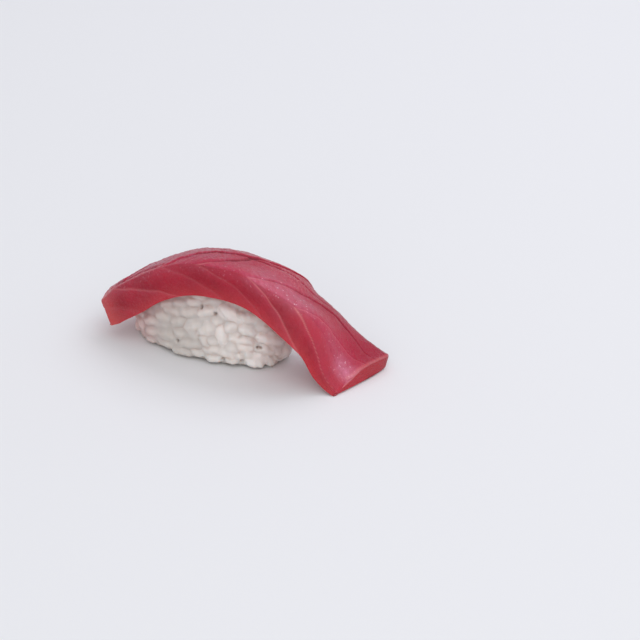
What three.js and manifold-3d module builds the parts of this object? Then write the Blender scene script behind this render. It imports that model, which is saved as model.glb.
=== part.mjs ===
// One piece of tuna nigiri: a thick slice of raw tuna draped over a pressed ball of rice.
// Millimetres, +Z up, the slice runs along X and rests its right end on the table.
import * as THREE from 'three';
import { mergeVertices } from 'three/addons/utils/BufferGeometryUtils.js';
import Module from 'manifold-3d';

// Where the rice ball stands in the part, so that the whole piece is centred on the origin.
const RICE_X = -8.1;
const RICE_Y = -1.1;

// The slice, measured along its own bent centre line from the top of the arch.
const SLICE_LEFT = 39.5;
const SLICE_RIGHT = 43.8;
const SLICE_WIDTH = 26.4;
const RIGHT_WIDENING = 1.6;
const SLICE_NEAR_EDGE = -13;
const ARCH_X = 8;
const ARCH_Z = 21.15;
const LEFT_BEND_RADIUS = 26;
const LEFT_SLOPE = THREE.MathUtils.degToRad(38.5);
const RIGHT_BEND_RADIUS = 34;
const RIGHT_SLOPE = THREE.MathUtils.degToRad(52);
const TABLE_SLOPE = THREE.MathUtils.degToRad(34);
const SLICE_THICKNESS = 6.3;
const RIGHT_THINNING = 2.6;
const LEFT_THICKENING = 0.8;
const FAR_UNDERCUT = 3;
const CROWN_RADIUS = 24;
const END_CROWN_RADIUS = 49;
const CROWN_LINE = -4;
const LEFT_CROWN_SHIFT = 3.5;
const EDGE_ROUNDING = 0.5;
const END_BULGE = 1.9;
const END_SKEW = 1.6;

// The muscle flakes: where each seam crosses the near ridge, how far it runs to the right
// for each millimetre across the top, its run down the near face, and that face's lean.
const SEAMS = [
  { ridge: -57, top: 1.1, side: 19, lean: 0.5 },
  { ridge: -44.5, top: 1.1, side: 19, lean: 0.5 },
  { ridge: -31.5, top: 1.2, side: 19.5, lean: 0.5 },
  { ridge: -16.8, top: 1.24, side: 20.5, lean: 0.45 },
  { ridge: -4.6, top: 1.22, side: 29, lean: 0.45 },
  { ridge: 7.7, top: 1.9, side: 27, lean: 0.8 },
  { ridge: 21.8, top: 2.4, side: 25, lean: 1.25 },
];
const SEAM_DEPTH = 0.55;
const SEAM_WIDTH = 0.9;
const FLAKE_LIP = 0.35;
const FLAKE_LIP_FADE = 4;

// How finely the slice is divided along, up its faces, over its top and under it.
const LEFT_PITCH = 1.3;
const RIGHT_PITCH = 2.3;
const NEAR_ROWS = 8;
const TOP_ROWS = 22;
const FAR_ROWS = 3;
const UNDER_ROWS = 8;
const SPINE_STEP = 0.25;

// The rice ball and its grains.
const RICE_TURN = THREE.MathUtils.degToRad(-3);
const RICE_HALF_LENGTH = 22.9;
const RICE_HALF_WIDTH = 10.2;
const RICE_HEIGHT = 25;
const RICE_OVAL_POWER = 2.3;
const RICE_SHOULDER_POWER = 3;
const RICE_FOOT = 0.9;
const RICE_FOOT_HEIGHT = 4.5;
const RICE_SIDES = 26;
const RICE_LEVELS = 6;
const GRAIN_LENGTH = 6.4;
const GRAIN_WIDTH = 3.0;
const GRAIN_THICKNESS = 2.5;
const GRAIN_PROUD = 0.8;
const GRAIN_ROW_RISE = 2.5;
const GRAIN_PITCH = 6.2;
const GRAIN_FACING_UP = 0.75;
const GRAIN_SIDES = 5;
const GRAIN_BANDS = 3;
const GAP = 0.32;
const SEED = 7;

const { smoothstep, lerp, clamp } = THREE.MathUtils;
const UP = new THREE.Vector3(0, 0, 1);

// A repeatable draw between 0 and 1.
function makeDraw(seed) {
  let state = seed;
  return () => {
    state = (state * 16807) % 2147483647;
    return state / 2147483647;
  };
}

// ---------------------------------------------------------------- the bent centre line

function slopeAt(s) {
  if (s < 0) return LEFT_SLOPE * Math.tanh(s / (LEFT_BEND_RADIUS * LEFT_SLOPE));
  const droop = RIGHT_SLOPE * Math.tanh(s / (RIGHT_BEND_RADIUS * RIGHT_SLOPE));
  return droop - TABLE_SLOPE * smoothstep(s, 35, 46);
}

// Walks from the top of the arch to one end and lists what it passes.
function walk(direction, length) {
  const points = [{ s: 0, x: ARCH_X, z: ARCH_Z, slope: 0 }];
  while (Math.abs(points.at(-1).s) < length + 4) {
    const last = points.at(-1);
    const s = last.s + direction * SPINE_STEP;
    const slope = slopeAt(s);
    const middle = (slope + last.slope) / 2;
    const x = last.x + direction * SPINE_STEP * Math.cos(middle);
    const z = last.z - direction * SPINE_STEP * Math.sin(middle);
    points.push({ s, x, z, slope });
  }
  return points;
}

const SPINE = [...walk(-1, SLICE_LEFT).reverse(), ...walk(1, SLICE_RIGHT).slice(1)];

function spineAt(s) {
  const place = clamp((s - SPINE[0].s) / SPINE_STEP, 0, SPINE.length - 1.001);
  const index = Math.floor(place);
  const t = place - index;
  const a = SPINE[index];
  const b = SPINE[index + 1];
  return { x: lerp(a.x, b.x, t), z: lerp(a.z, b.z, t), slope: lerp(a.slope, b.slope, t) };
}

// ---------------------------------------------------------------- the slice's cross-section

const sliceWidth = (s) => SLICE_WIDTH + RIGHT_WIDENING * smoothstep(s, 28, 43);
function thickness(s) {
  const left = LEFT_THICKENING * smoothstep(-s, -12, 14);
  return SLICE_THICKNESS + left - RIGHT_THINNING * smoothstep(s, 18, 45);
}

const crownRadius = (s) => lerp(CROWN_RADIUS, END_CROWN_RADIUS, smoothstep(s, 20, 45));
const crownLine = (s) => CROWN_LINE + LEFT_CROWN_SHIFT * smoothstep(-s, 12, 39);

// Height of the underside above the spine: highest on the crown line, falling to both sides.
function sag(s, y) {
  const line = crownLine(s);
  return ((SLICE_NEAR_EDGE - line) ** 2 - (y - line) ** 2) / (2 * crownRadius(s));
}

// How far the near face has leaned back at a level between 0, its foot, and 1, the ridge.
function leanTo(s, level) {
  const steps = 12;
  let lean = 0;
  for (let k = 0; k < steps; k += 1) {
    const at = (level * (k + 0.5)) / steps;
    const flake = SEAMS.findLast((seam) => s - seam.side * (1 - at) > seam.ridge) ?? SEAMS[0];
    lean += (flake.lean * level * thickness(s)) / steps;
  }
  return lean;
}

function place(s, y, height) {
  const { x, z, slope } = spineAt(s);
  return [x + height * Math.sin(slope), y, z + height * Math.cos(slope)];
}

// Relief of the flakes on the top: a groove at each seam and a lip on its far side.
function relief(s, run) {
  let height = 0;
  for (const seam of SEAMS) {
    const past = s - seam.ridge - seam.top * run;
    height -= SEAM_DEPTH * Math.exp(-((past / SEAM_WIDTH) ** 2));
    if (past < 0) height += FLAKE_LIP * Math.exp(past / FLAKE_LIP_FADE);
  }
  return height;
}

const pitchAt = (s) => lerp(LEFT_PITCH, RIGHT_PITCH, smoothstep(s, -4, 24));

// The stations along the slice, wider apart where the seams run at a flatter slant.
function stations() {
  const list = [-SLICE_LEFT];
  while (list.at(-1) < SLICE_RIGHT) list.push(list.at(-1) + pitchAt(list.at(-1)));
  const stretch = (SLICE_RIGHT + SLICE_LEFT) / (list.at(-1) + SLICE_LEFT);
  return list.map((s) => (s + SLICE_LEFT) * stretch - SLICE_LEFT);
}

// Moves a station onto a seam that passes within half a column of it.
function onSeam(s, seamAt) {
  const seam = SEAMS.find((each) => Math.abs(s - seamAt(each)) < pitchAt(s) / 2);
  return seam ? seamAt(seam) : s;
}

// One closed ring of the slice's outline, as {s, y, height}, near foot first. A ring away
// from the ends has its stations moved onto the seams.
function sectionAt(s, moved) {
  const full = thickness(s);
  const ridgeY = SLICE_NEAR_EDGE + leanTo(s, 1);
  const farY = SLICE_NEAR_EDGE + sliceWidth(s);
  const ring = [];
  for (let k = 0; k < NEAR_ROWS; k += 1) {
    const level = k / NEAR_ROWS;
    const station = moved ? onSeam(s, (seam) => seam.ridge + seam.side * (1 - level)) : s;
    const y = SLICE_NEAR_EDGE + leanTo(station, level) + (k === 0 ? EDGE_ROUNDING / 2 : 0);
    ring.push({ s: station, y, height: sag(station, y) + level * thickness(station) });
  }
  for (let k = 0; k <= TOP_ROWS; k += 1) {
    const y = lerp(ridgeY, farY, k / TOP_ROWS);
    const run = y - ridgeY;
    const edge = Math.max(0, 1 - run, 1 - (farY - y)) ** 2;
    const station = moved ? onSeam(s, (seam) => seam.ridge + seam.top * run) : s;
    const height = sag(station, y) + full + relief(station, run) * smoothstep(run, 0, 1.5);
    ring.push({ s: station, y, height: height - EDGE_ROUNDING * edge });
  }
  for (let k = 1; k <= FAR_ROWS; k += 1) {
    const level = 1 - k / (FAR_ROWS + 1);
    const y = farY - FAR_UNDERCUT * (1 - level);
    ring.push({ s, y, height: sag(s, y) + level * full });
  }
  for (let k = 0; k < UNDER_ROWS; k += 1) {
    const y = lerp(farY - FAR_UNDERCUT, SLICE_NEAR_EDGE + 1, k / (UNDER_ROWS - 1));
    ring.push({ s, y, height: sag(s, y) });
  }
  return ring;
}

// How the right cut strays from square: it bulges half way across, leans back towards its
// top and reaches further on the far side.
function endOffset(point, s, share) {
  const across = (point.y - SLICE_NEAR_EDGE) / sliceWidth(s);
  const level = (point.height - sag(s, point.y)) / thickness(s);
  const bulge = END_BULGE * (4 * across * (1 - across) - clamp(level, 0, 1));
  return share * (bulge + END_SKEW * across);
}

function sliceGeometry() {
  const positions = [];
  const rings = [];
  const columns = stations();
  for (const [column, s] of columns.entries()) {
    const inside = column > 1 && column < columns.length - 2;
    const ring = sectionAt(s, inside);
    const share = smoothstep(s, SLICE_RIGHT - 12, SLICE_RIGHT);
    rings.push(ring);
    for (const point of ring) {
      const moved = point.s + endOffset(point, s, share);
      positions.push(...place(moved, point.y, point.height));
    }
  }
  const count = rings[0].length;
  const index = [];
  for (let column = 0; column + 1 < columns.length; column += 1) {
    for (let k = 0; k < count; k += 1) {
      const next = (k + 1) % count;
      const a = column * count + k;
      const b = column * count + next;
      const c = (column + 1) * count + next;
      const d = (column + 1) * count + k;
      if (k < NEAR_ROWS) index.push(a, d, b, b, d, c);
      else index.push(a, c, b, a, d, c);
    }
  }
  const first = rings[0].map((p) => new THREE.Vector2(p.y, p.height));
  const last = rings.at(-1).map((p) => new THREE.Vector2(p.y, p.height));
  const base = (columns.length - 1) * count;
  for (const [a, b, c] of THREE.ShapeUtils.triangulateShape(first, [])) {
    index.push(a, c, b);
  }
  for (const [a, b, c] of THREE.ShapeUtils.triangulateShape(last, [])) {
    index.push(base + a, base + b, base + c);
  }
  const geometry = new THREE.BufferGeometry();
  geometry.setAttribute('position', new THREE.Float32BufferAttribute(positions, 3));
  geometry.setIndex(index);
  return geometry;
}

// ---------------------------------------------------------------- the rice ball

// A point of the rice's smooth surface: angle round it, and height as a share of the whole.
function ricePoint(angle, share) {
  const z = share * RICE_HEIGHT;
  const shoulder = Math.max(0, 1 - share ** RICE_SHOULDER_POWER) ** (1 / RICE_SHOULDER_POWER);
  const radius = shoulder * lerp(RICE_FOOT, 1, smoothstep(z, 0, RICE_FOOT_HEIGHT));
  const c = Math.cos(angle);
  const n = Math.sin(angle);
  const oval = (Math.abs(c) ** RICE_OVAL_POWER + Math.abs(n) ** RICE_OVAL_POWER) ** (-1 / RICE_OVAL_POWER);
  const point = new THREE.Vector3(RICE_HALF_LENGTH * oval * c, RICE_HALF_WIDTH * oval * n, 0);
  point.multiplyScalar(radius).applyAxisAngle(UP, RICE_TURN);
  return point.setZ(z);
}

function coreGeometry() {
  const positions = [];
  const index = [];
  for (let level = 0; level < RICE_LEVELS; level += 1) {
    const share = Math.sin((level / RICE_LEVELS) * (Math.PI / 2)) ** 1.3;
    for (let side = 0; side < RICE_SIDES; side += 1) {
      positions.push(...ricePoint((side / RICE_SIDES) * 2 * Math.PI, share));
    }
  }
  const foot = RICE_LEVELS * RICE_SIDES;
  positions.push(0, 0, 0, 0, 0, RICE_HEIGHT);
  for (let side = 0; side < RICE_SIDES; side += 1) {
    const next = (side + 1) % RICE_SIDES;
    index.push(foot, next, side);
    for (let level = 0; level + 1 < RICE_LEVELS; level += 1) {
      const a = level * RICE_SIDES + side;
      const b = level * RICE_SIDES + next;
      index.push(a, b, b + RICE_SIDES, a, b + RICE_SIDES, a + RICE_SIDES);
    }
    const rim = (RICE_LEVELS - 1) * RICE_SIDES;
    index.push(rim + side, rim + next, foot + 1);
  }
  const geometry = new THREE.BufferGeometry();
  geometry.setAttribute('position', new THREE.Float32BufferAttribute(positions, 3));
  geometry.setIndex(index);
  return geometry;
}

// How far a point lies below the slice's underside.
function clearance(point) {
  let best = SPINE[0];
  let nearest = Infinity;
  for (const station of SPINE) {
    const apart = (station.x - point.x) ** 2 + (station.z - point.z) ** 2;
    if (apart < nearest) {
      nearest = apart;
      best = station;
    }
  }
  const dx = point.x - best.x;
  const dz = point.z - best.z;
  const height = dx * Math.sin(best.slope) + dz * Math.cos(best.slope);
  return sag(best.s, point.y) - height;
}

// The room that the slice takes above the rice, as a thick blanket that follows its underside.
function blanketGeometry() {
  const columns = 44;
  const rows = 16;
  const positions = [];
  const index = [];
  const margin = 4;
  for (let layer = 0; layer < 2; layer += 1) {
    for (let i = 0; i <= columns; i += 1) {
      const s = lerp(-SLICE_LEFT - 2, SLICE_RIGHT, i / columns);
      for (let j = 0; j <= rows; j += 1) {
        const y = lerp(SLICE_NEAR_EDGE - margin, SLICE_NEAR_EDGE + SLICE_WIDTH + margin, j / rows);
        positions.push(...place(s, y, sag(s, y) - GAP + layer * 12));
      }
    }
  }
  const stride = rows + 1;
  const layerSize = (columns + 1) * stride;
  const quad = (a, b, c, d) => index.push(a, b, c, a, c, d);
  for (let i = 0; i < columns; i += 1) {
    for (let j = 0; j < rows; j += 1) {
      const a = i * stride + j;
      quad(a, a + 1, a + stride + 1, a + stride);
      quad(layerSize + a, layerSize + a + stride, layerSize + a + stride + 1, layerSize + a + 1);
    }
    const near = i * stride;
    const far = near + rows;
    quad(near, near + stride, layerSize + near + stride, layerSize + near);
    quad(far, layerSize + far, layerSize + far + stride, far + stride);
  }
  for (let j = 0; j < rows; j += 1) {
    const end = columns * stride + j;
    quad(j, layerSize + j, layerSize + j + 1, j + 1);
    quad(end, end + 1, layerSize + end + 1, layerSize + end);
  }
  const geometry = new THREE.BufferGeometry();
  geometry.setAttribute('position', new THREE.Float32BufferAttribute(positions, 3));
  geometry.setIndex(index);
  return geometry;
}

// One grain, lying on the rice's surface and turned by chance; null where it would not fit
// or would face straight up under the slice.
function grainGeometry(angle, share, draw) {
  const step = 0.01;
  const centre = ricePoint(angle, share);
  const along = ricePoint(angle + step, share).sub(centre).normalize();
  const up = ricePoint(angle, Math.min(share + step, 0.99)).sub(centre).normalize();
  const out = new THREE.Vector3().crossVectors(along, up).normalize();
  if (out.z > GRAIN_FACING_UP) return null;
  const turn = (draw() - 0.5) * Math.PI;
  const length = along.clone().applyAxisAngle(out, turn);
  const width = new THREE.Vector3().crossVectors(out, length);
  const size = 0.9 + 0.2 * draw();
  centre.addScaledVector(out, GRAIN_PROUD * (0.4 + 1.2 * draw()));
  for (const [fit, sink] of [[1, 0], [1, 0.9], [0.85, 1.6], [0.7, 2.2]]) {
    const grain = new THREE.SphereGeometry(0.5, GRAIN_SIDES, GRAIN_BANDS);
    grain.rotateY(draw() * Math.PI);
    grain.scale(GRAIN_WIDTH * size, GRAIN_LENGTH * size * fit, GRAIN_THICKNESS * size);
    const turned = new THREE.Matrix4().makeBasis(width, length, out.clone().negate());
    turned.setPosition(centre.x, centre.y, centre.z - sink);
    grain.applyMatrix4(turned);
    const points = grain.getAttribute('position');
    let room = Infinity;
    let lowest = Infinity;
    const corner = new THREE.Vector3();
    for (let k = 0; k < points.count; k += 1) {
      corner.fromBufferAttribute(points, k);
      room = Math.min(room, clearance(corner));
      lowest = Math.min(lowest, corner.z);
    }
    if (lowest < 0.05) grain.translate(0, 0, 0.05 - lowest);
    if (room > GAP + Math.max(0, 0.05 - lowest)) return grain;
  }
  return null;
}

// ---------------------------------------------------------------- joining

const wasm = await Module();
wasm.setup();

function toManifold(geometry) {
  geometry.deleteAttribute('normal');
  geometry.deleteAttribute('uv');
  const clean = mergeVertices(geometry, 1e-4);
  return new wasm.Manifold(new wasm.Mesh({
    numProp: 3,
    vertProperties: new Float32Array(clean.getAttribute('position').array),
    triVerts: new Uint32Array(clean.index.array),
  }));
}

function toGeometry(solid) {
  const mesh = solid.getMesh();
  const geometry = new THREE.BufferGeometry();
  geometry.setAttribute('position', new THREE.BufferAttribute(new Float32Array(mesh.vertProperties), 3));
  geometry.setIndex(new THREE.BufferAttribute(new Uint32Array(mesh.triVerts), 1));
  return geometry;
}

function riceGeometry() {
  const draw = makeDraw(SEED);
  let rice = toManifold(coreGeometry()).subtract(toManifold(blanketGeometry()));
  const grains = [];
  let row = 0;
  for (let z = 1.5; z < RICE_HEIGHT - 1; z += GRAIN_ROW_RISE) {
    const share = z / RICE_HEIGHT;
    const start = ricePoint(0, share);
    const side = ricePoint(Math.PI / 2, share);
    const girth = Math.PI * (start.length() + side.length()) * 1.06;
    const count = Math.max(3, Math.round(girth / GRAIN_PITCH));
    for (let k = 0; k < count; k += 1) {
      const angle = ((k + 0.5 * (row % 2) + 0.5 * (draw() - 0.5)) / count) * 2 * Math.PI;
      const height = share + (draw() - 0.5) * (1.2 / RICE_HEIGHT);
      const grain = grainGeometry(angle, height, draw);
      if (grain) grains.push(toManifold(grain));
    }
    row += 1;
  }
  rice = rice.add(wasm.Manifold.union(grains));
  const whole = rice.decompose().sort((a, b) => b.volume() - a.volume())[0];
  return toGeometry(whole);
}

// ---------------------------------------------------------------- the part

function addPiece(group, name, geometry, look) {
  geometry.translate(RICE_X, RICE_Y, 0);
  geometry.computeVertexNormals();
  const mesh = new THREE.Mesh(geometry, new THREE.MeshStandardMaterial(look));
  mesh.name = name;
  group.add(mesh);
}

const part = new THREE.Group();
part.name = 'tuna_nigiri';
addPiece(part, 'tuna_slice', sliceGeometry(), { color: 0xb23246, roughness: 0.4, metalness: 0 });
addPiece(part, 'rice', riceGeometry(), { color: 0xe6e2da, roughness: 0.55, metalness: 0 });

export default part;
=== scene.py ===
# %% [markdown]
# # Tuna nigiri
# One piece of sushi: a thick slice of raw tuna draped over a pressed ball of rice.
# The fish is one bent slab whose flakes slant across it, so it is worked out as a grid
# along the slab and round its outline. The rice is a heap of sticky grains pushed
# together, so the grains are placed first and then fused into one skin.

import math

import bmesh
import bpy
import numpy as np
from mathutils import Matrix, Vector


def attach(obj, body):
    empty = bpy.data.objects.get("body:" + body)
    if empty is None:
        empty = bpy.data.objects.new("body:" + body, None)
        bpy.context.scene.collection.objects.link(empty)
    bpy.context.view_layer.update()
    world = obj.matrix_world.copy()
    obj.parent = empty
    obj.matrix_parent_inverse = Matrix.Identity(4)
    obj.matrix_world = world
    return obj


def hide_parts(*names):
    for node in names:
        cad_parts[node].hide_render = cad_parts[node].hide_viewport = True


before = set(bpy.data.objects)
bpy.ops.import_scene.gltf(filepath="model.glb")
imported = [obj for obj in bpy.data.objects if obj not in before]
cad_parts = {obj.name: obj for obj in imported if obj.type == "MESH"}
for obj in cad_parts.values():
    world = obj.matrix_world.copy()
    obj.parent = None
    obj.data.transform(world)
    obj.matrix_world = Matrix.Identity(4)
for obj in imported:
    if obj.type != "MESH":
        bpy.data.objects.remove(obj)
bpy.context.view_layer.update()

# %% [markdown]
# ## Units and the middle of the rice
# All shapes below are worked out in millimetres, measured from the middle of the rice
# ball's foot, because a cook thinks of the rice as the base of the piece. At the end
# every point is moved to the middle of the whole piece and turned into metres.

# %% Units and small helpers
MM = 0.001
RICE_FOOT_MIDDLE = np.array([-8.1, -1.1, 0.0])


def to_metres(points):
    """Points in the measured model's own frame."""
    return (np.asarray(points) + RICE_FOOT_MIDDLE) * MM


def ease(low, high, value):
    """A smooth step from 0 at low to 1 at high, which runs the other way where low is the larger."""
    t = np.clip((np.asarray(value, float) - low) / (high - low), 0.0, 1.0)
    return t * t * (3.0 - 2.0 * t)


def blend(a, b, t):
    """a where t is 0, b where t is 1, and a straight mix between."""
    return a + (b - a) * t


print("the middle of the rice's foot is at", RICE_FOOT_MIDDLE, "mm")

# %% [markdown]
# ## The bent centre line of the fish
# The slice arches over the rice and hangs down on both sides. Its centre line is drawn
# like a bent strip of card: it starts level at the top, tips over more and more, then
# runs nearly straight, and flattens where its right end meets the table. A curve object
# could follow the same path, but a table of points is easier to measure against.

# %% Centre line
SLICE_LEFT, SLICE_RIGHT = 39.5, 43.8  # how far the slice runs from its highest point
ARCH_TOP = (8.0, 21.15)  # x and z of that point on the underside
LEFT_BEND, LEFT_SLOPE = 26.0, math.radians(38.5)  # radius at the top, slope far from it
RIGHT_BEND, RIGHT_SLOPE = 34.0, math.radians(52.0)
FLATTENED = math.radians(34.0)  # slope that is lost again on the table
FLATTENS_FROM, FLATTENS_TO = 35, 46
LINE_SPARE, LINE_STEP = 4, 0.05

line_s = np.arange(-SLICE_LEFT - LINE_SPARE, SLICE_RIGHT + LINE_SPARE + 0.01, LINE_STEP)
left_slope = LEFT_SLOPE * np.tanh(line_s / (LEFT_BEND * LEFT_SLOPE))
right_slope = RIGHT_SLOPE * np.tanh(line_s / (RIGHT_BEND * RIGHT_SLOPE))
right_slope = right_slope - FLATTENED * ease(FLATTENS_FROM, FLATTENS_TO, line_s)
line_slope = np.where(line_s < 0, left_slope, right_slope)
middle_slope = (line_slope[1:] + line_slope[:-1]) / 2
line_x = np.concatenate([[0], np.cumsum(np.cos(middle_slope) * np.diff(line_s))])
line_z = np.concatenate([[0], np.cumsum(-np.sin(middle_slope) * np.diff(line_s))])
line_x += ARCH_TOP[0] - np.interp(0, line_s, line_x)
line_z += ARCH_TOP[1] - np.interp(0, line_s, line_z)
print("centre line", len(line_s), "points, ends at x", line_x[0].round(1), line_x[-1].round(1))


def place(s, y, height):
    """A point at s along the slice, y across it and height above its underside line."""
    slope = np.interp(s, line_s, line_slope)
    x = np.interp(s, line_s, line_x) + height * np.sin(slope)
    z = np.interp(s, line_s, line_z) + height * np.cos(slope)
    return np.stack([x, y * np.ones_like(x), z], -1)


# %% [markdown]
# ## The fish's cross-section
# Cut across, the slab is a leaning parallelogram: the near face leans back, the far face
# is undercut, and the whole thing sags over the rice on both sides of a crown line. It
# gets thinner towards the right end, where the knife ran out.

# %% Cross-section measures
NEAR_EDGE = -13.0
SLICE_WIDTH, END_WIDENING = 26.4, 1.6
SLICE_THICKNESS, LEFT_THICKENING, RIGHT_THINNING = 6.3, 0.8, 2.6
CROWN_LINE, CROWN_SHIFT = -4.0, 3.5
SAG_RADIUS, SAG_END_RADIUS = 24.0, 49.0


def slice_width(s):
    """From the near edge to the far edge."""
    return SLICE_WIDTH + END_WIDENING * ease(28, 43, s)


def thickness(s):
    """From the underside to the plain top."""
    return SLICE_THICKNESS + LEFT_THICKENING * ease(-12, 14, -s) - RIGHT_THINNING * ease(18, 45, s)


def sag(s, y):
    """Height of the underside above the centre line: it falls away on both sides of the crown."""
    line = CROWN_LINE + CROWN_SHIFT * ease(12, 39, -s)
    radius = blend(SAG_RADIUS, SAG_END_RADIUS, ease(20, 45, s))
    return ((NEAR_EDGE - line) ** 2 - (y - line) ** 2) / (2 * radius)


print("in the middle:", slice_width(0).round(1), "mm wide,", thickness(0).round(1), "mm thick")

# %% [markdown]
# ## Where the slice swells and droops
# Soft fish is never a clean extrusion: a hand has pressed it up here and down there. Each
# such swell is a short list of places along the slice with a height at each, joined
# smoothly. Sculpting would do as well, but a list is easier to read and to change.

# %% Where the top swells, droops and rounds over
LEFT_END, RIGHT_END = -SLICE_LEFT, SLICE_RIGHT
END_DROOP = 1.0
FAR_FALL, FAR_FALL_RIGHT, FAR_ROUND = 0.5, 1.2, 4.5


def quarter_round(distance, length):
    """0 until the last stretch before an edge, then falling away like a quarter circle to 1."""
    t = np.clip(1 - distance / length, 0, 1)
    return 1 - np.sqrt(np.clip(1 - t * t, 0, 1))


def through(stops, s):
    """A smooth line through pairs of place and height."""
    value = stops[0][1]
    for (start, low), (stop, high) in zip(stops, stops[1:]):
        value = value + (high - low) * ease(start, stop, s)
    return value


NEAR_SWELL = [(-2, 0), (7, 1.25), (13, 0.65), (22, 0.65), (33, 0), (37, 0), (44, -0.8)]
FAR_LIFT = [
    (-39, -1.1), (-33, -0.8), (-25, 0), (-13, 0.4), (-5, 0),
    (3, -0.5), (13, 0), (20, -1.5), (29, -0.9), (41, 0.6),
]
FOOT_LIFT = [
    (-39.5, -0.1), (-35.5, -0.7), (-26, -1.0), (-17, -0.4), (-2, -0.3),
    (13, 1.0), (22, 0.8), (30, 1.2), (37, -0.3), (44, -0.7),
]


def foot(s, y):
    """The underside: the near edge is pressed up on the right and hangs lower on the left."""
    return sag(s, y) + through(FOOT_LIFT, s) * (1 - ease(NEAR_EDGE, NEAR_EDGE + 8, y))


def top_extra(s, y, run):
    """Height added to the plain top: run is the distance from the ridge, towards the far side."""
    swell = through(NEAR_SWELL, s) * (1 - ease(0, 9, run)) + through(FAR_LIFT, s) * ease(2, 9, run)
    droop = END_DROOP * (1 - ease(0, 8, s - LEFT_END)) * (1 - ease(2, 7, run))
    from_far = NEAR_EDGE + slice_width(s) - y
    fall = FAR_FALL + FAR_FALL_RIGHT * ease(6, 18, s) * (1 - ease(34, 41, s))
    return swell - droop - fall * quarter_round(from_far, FAR_ROUND)


print("the near part of the top swells by", max(height for _, height in NEAR_SWELL), "mm")

# %% [markdown]
# ## The flakes
# Tuna muscle comes in flakes, with a pale seam of connective tissue between each two.
# Every seam is one sheet through the slab, so it shows as a slanting line on the top and
# as another on the near face, and the two meet on the ridge. Listing the seams once, by
# where they cross the ridge, keeps both lines together.

# %% Seams between the flakes
NO_TURN = 99.0  # further from the ridge than any point, for a seam that runs on straight


def flake_seam(ridge, top, side, lean, depth, pale, curl=0.0, turn=NO_TURN, sweep=0.0, bow=0.0):
    """ridge: where it crosses the ridge. top, curl, turn: its run over the top, which turns along
    the slice beyond turn. side, sweep, bow: its run down the near face. lean: how far the near
    face leans back in the flake to its right. depth, pale: how deep and how pale it is."""
    return dict(
        ridge=ridge, top=top, curl=curl, turn=turn, side=side, sweep=sweep, bow=bow,
        lean=lean, depth=depth, pale=pale,
    )


SEAMS = [
    flake_seam(-57.0, 1.10, 19.0, lean=0.50, depth=0.30, pale=0.10),
    flake_seam(-44.5, 1.10, 19.0, lean=0.50, depth=0.30, pale=0.15),
    flake_seam(-33.2, 1.20, 22.8, lean=0.50, depth=0.40, pale=0.60),
    flake_seam(-15.8, 1.55, 18.5, lean=0.45, depth=0.80, pale=0.22, bow=1.8),
    flake_seam(-5.2, 1.50, 23.5, lean=0.45, depth=0.70, pale=0.28, curl=-0.07, turn=11.0),
    flake_seam(7.5, 1.25, 12.1, lean=1.05, depth=0.45, pale=0.90, turn=9.6, sweep=9.8),
    flake_seam(20.8, 2.70, 17.4, lean=2.30, depth=0.14, pale=1.00, bow=21.5),
]
print(len(SEAMS), "seams, on the ridge from s", SEAMS[0]["ridge"], "to", SEAMS[-1]["ridge"])

# %% [markdown]
# ## How the near face leans back
# The knife went through at a slant, and each flake has slipped by its own amount, so the
# near face is made of facets that lean back differently. Adding up the lean from the foot
# to the ridge, in small steps, keeps the facets joined wherever a seam crosses them.

# %% Lean of the near face
LAST_LEAN = 1.3  # what the last flake's lean comes down to at the right end
LEAN_STEPS = 48


def run_down(seam, level):
    """How far along the slice a seam has gone by the time it is down to a level."""
    below = 1 - level
    return seam["side"] * below + seam["sweep"] * np.sqrt(below) + seam["bow"] * below ** 2


def lean_to(s, level):
    """How far the near face has leaned back at a level from 0, its foot, to 1, its ridge."""
    lean = np.zeros(np.broadcast(s, level).shape)
    for k in range(LEAN_STEPS):
        at = level * (k + 0.5) / LEAN_STEPS
        slope = np.full(lean.shape, SEAMS[0]["lean"])
        for seam in SEAMS:
            slope = np.where(s - run_down(seam, at) > seam["ridge"], seam["lean"], slope)
        slope = np.minimum(slope, blend(SEAMS[-1]["lean"], LAST_LEAN, ease(24, 42, s)))
        lean = lean + slope * level * thickness(s) / LEAN_STEPS
    return lean


print("in the middle it leans back by", lean_to(np.zeros(1), 1.0)[0].round(1), "mm")

# %% [markdown]
# ## How far a point is from a seam
# The groove, the lip and the pale colour of a seam all depend on one thing: how far a
# point lies beyond it. So that is worked out once, for the top and for the near face,
# with a slow uneven wave added, because no seam in real fish is ruled straight.

# %% Distance from a seam
TURN_RATE = 1.6
TOP_WANDER, SIDE_WANDER = 0.25, 0.4


def wander(s, y, seed):
    """A slow, uneven wave of about one either way, so that no seam is ruled straight."""
    a = np.sin(0.31 * s + 0.47 * y + seed) + np.sin(0.73 * s - 0.38 * y + 2.1 * seed)
    return 0.5 * (a + 0.6 * np.sin(1.37 * s + 0.9 * y + 3.7 * seed))


def past_turn(seam, run):
    """How far a point is beyond the place where the seam turns along the slice."""
    return np.clip(run - seam["turn"], 0, None)


def before_turn(seam, run):
    """1 as far as the turn, and fading to 0 a little beyond it, where the seam ends."""
    return 1 - ease(2.2, 4.2, past_turn(seam, run))


def past_top_seam(seam, s, run, y):
    """Distance along the slice beyond a seam on the top."""
    bend = past_turn(seam, run)
    line = seam["ridge"] + seam["top"] * run + seam["curl"] * run ** 2 + TURN_RATE * bend ** 2
    steepness = np.sqrt(1 + (2 * TURN_RATE * bend) ** 2)
    return (s - line) / steepness + TOP_WANDER * wander(s, y, seam["ridge"])


def past_side_seam(seam, s, level):
    """The same on the near face."""
    wave = SIDE_WANDER * wander(s, 3 * level, seam["ridge"])
    return s - run_down(seam, level) - seam["ridge"] + wave


print("the wave along one seam reaches", wander(line_s, 0.0, 0.0).max().round(2))

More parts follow.
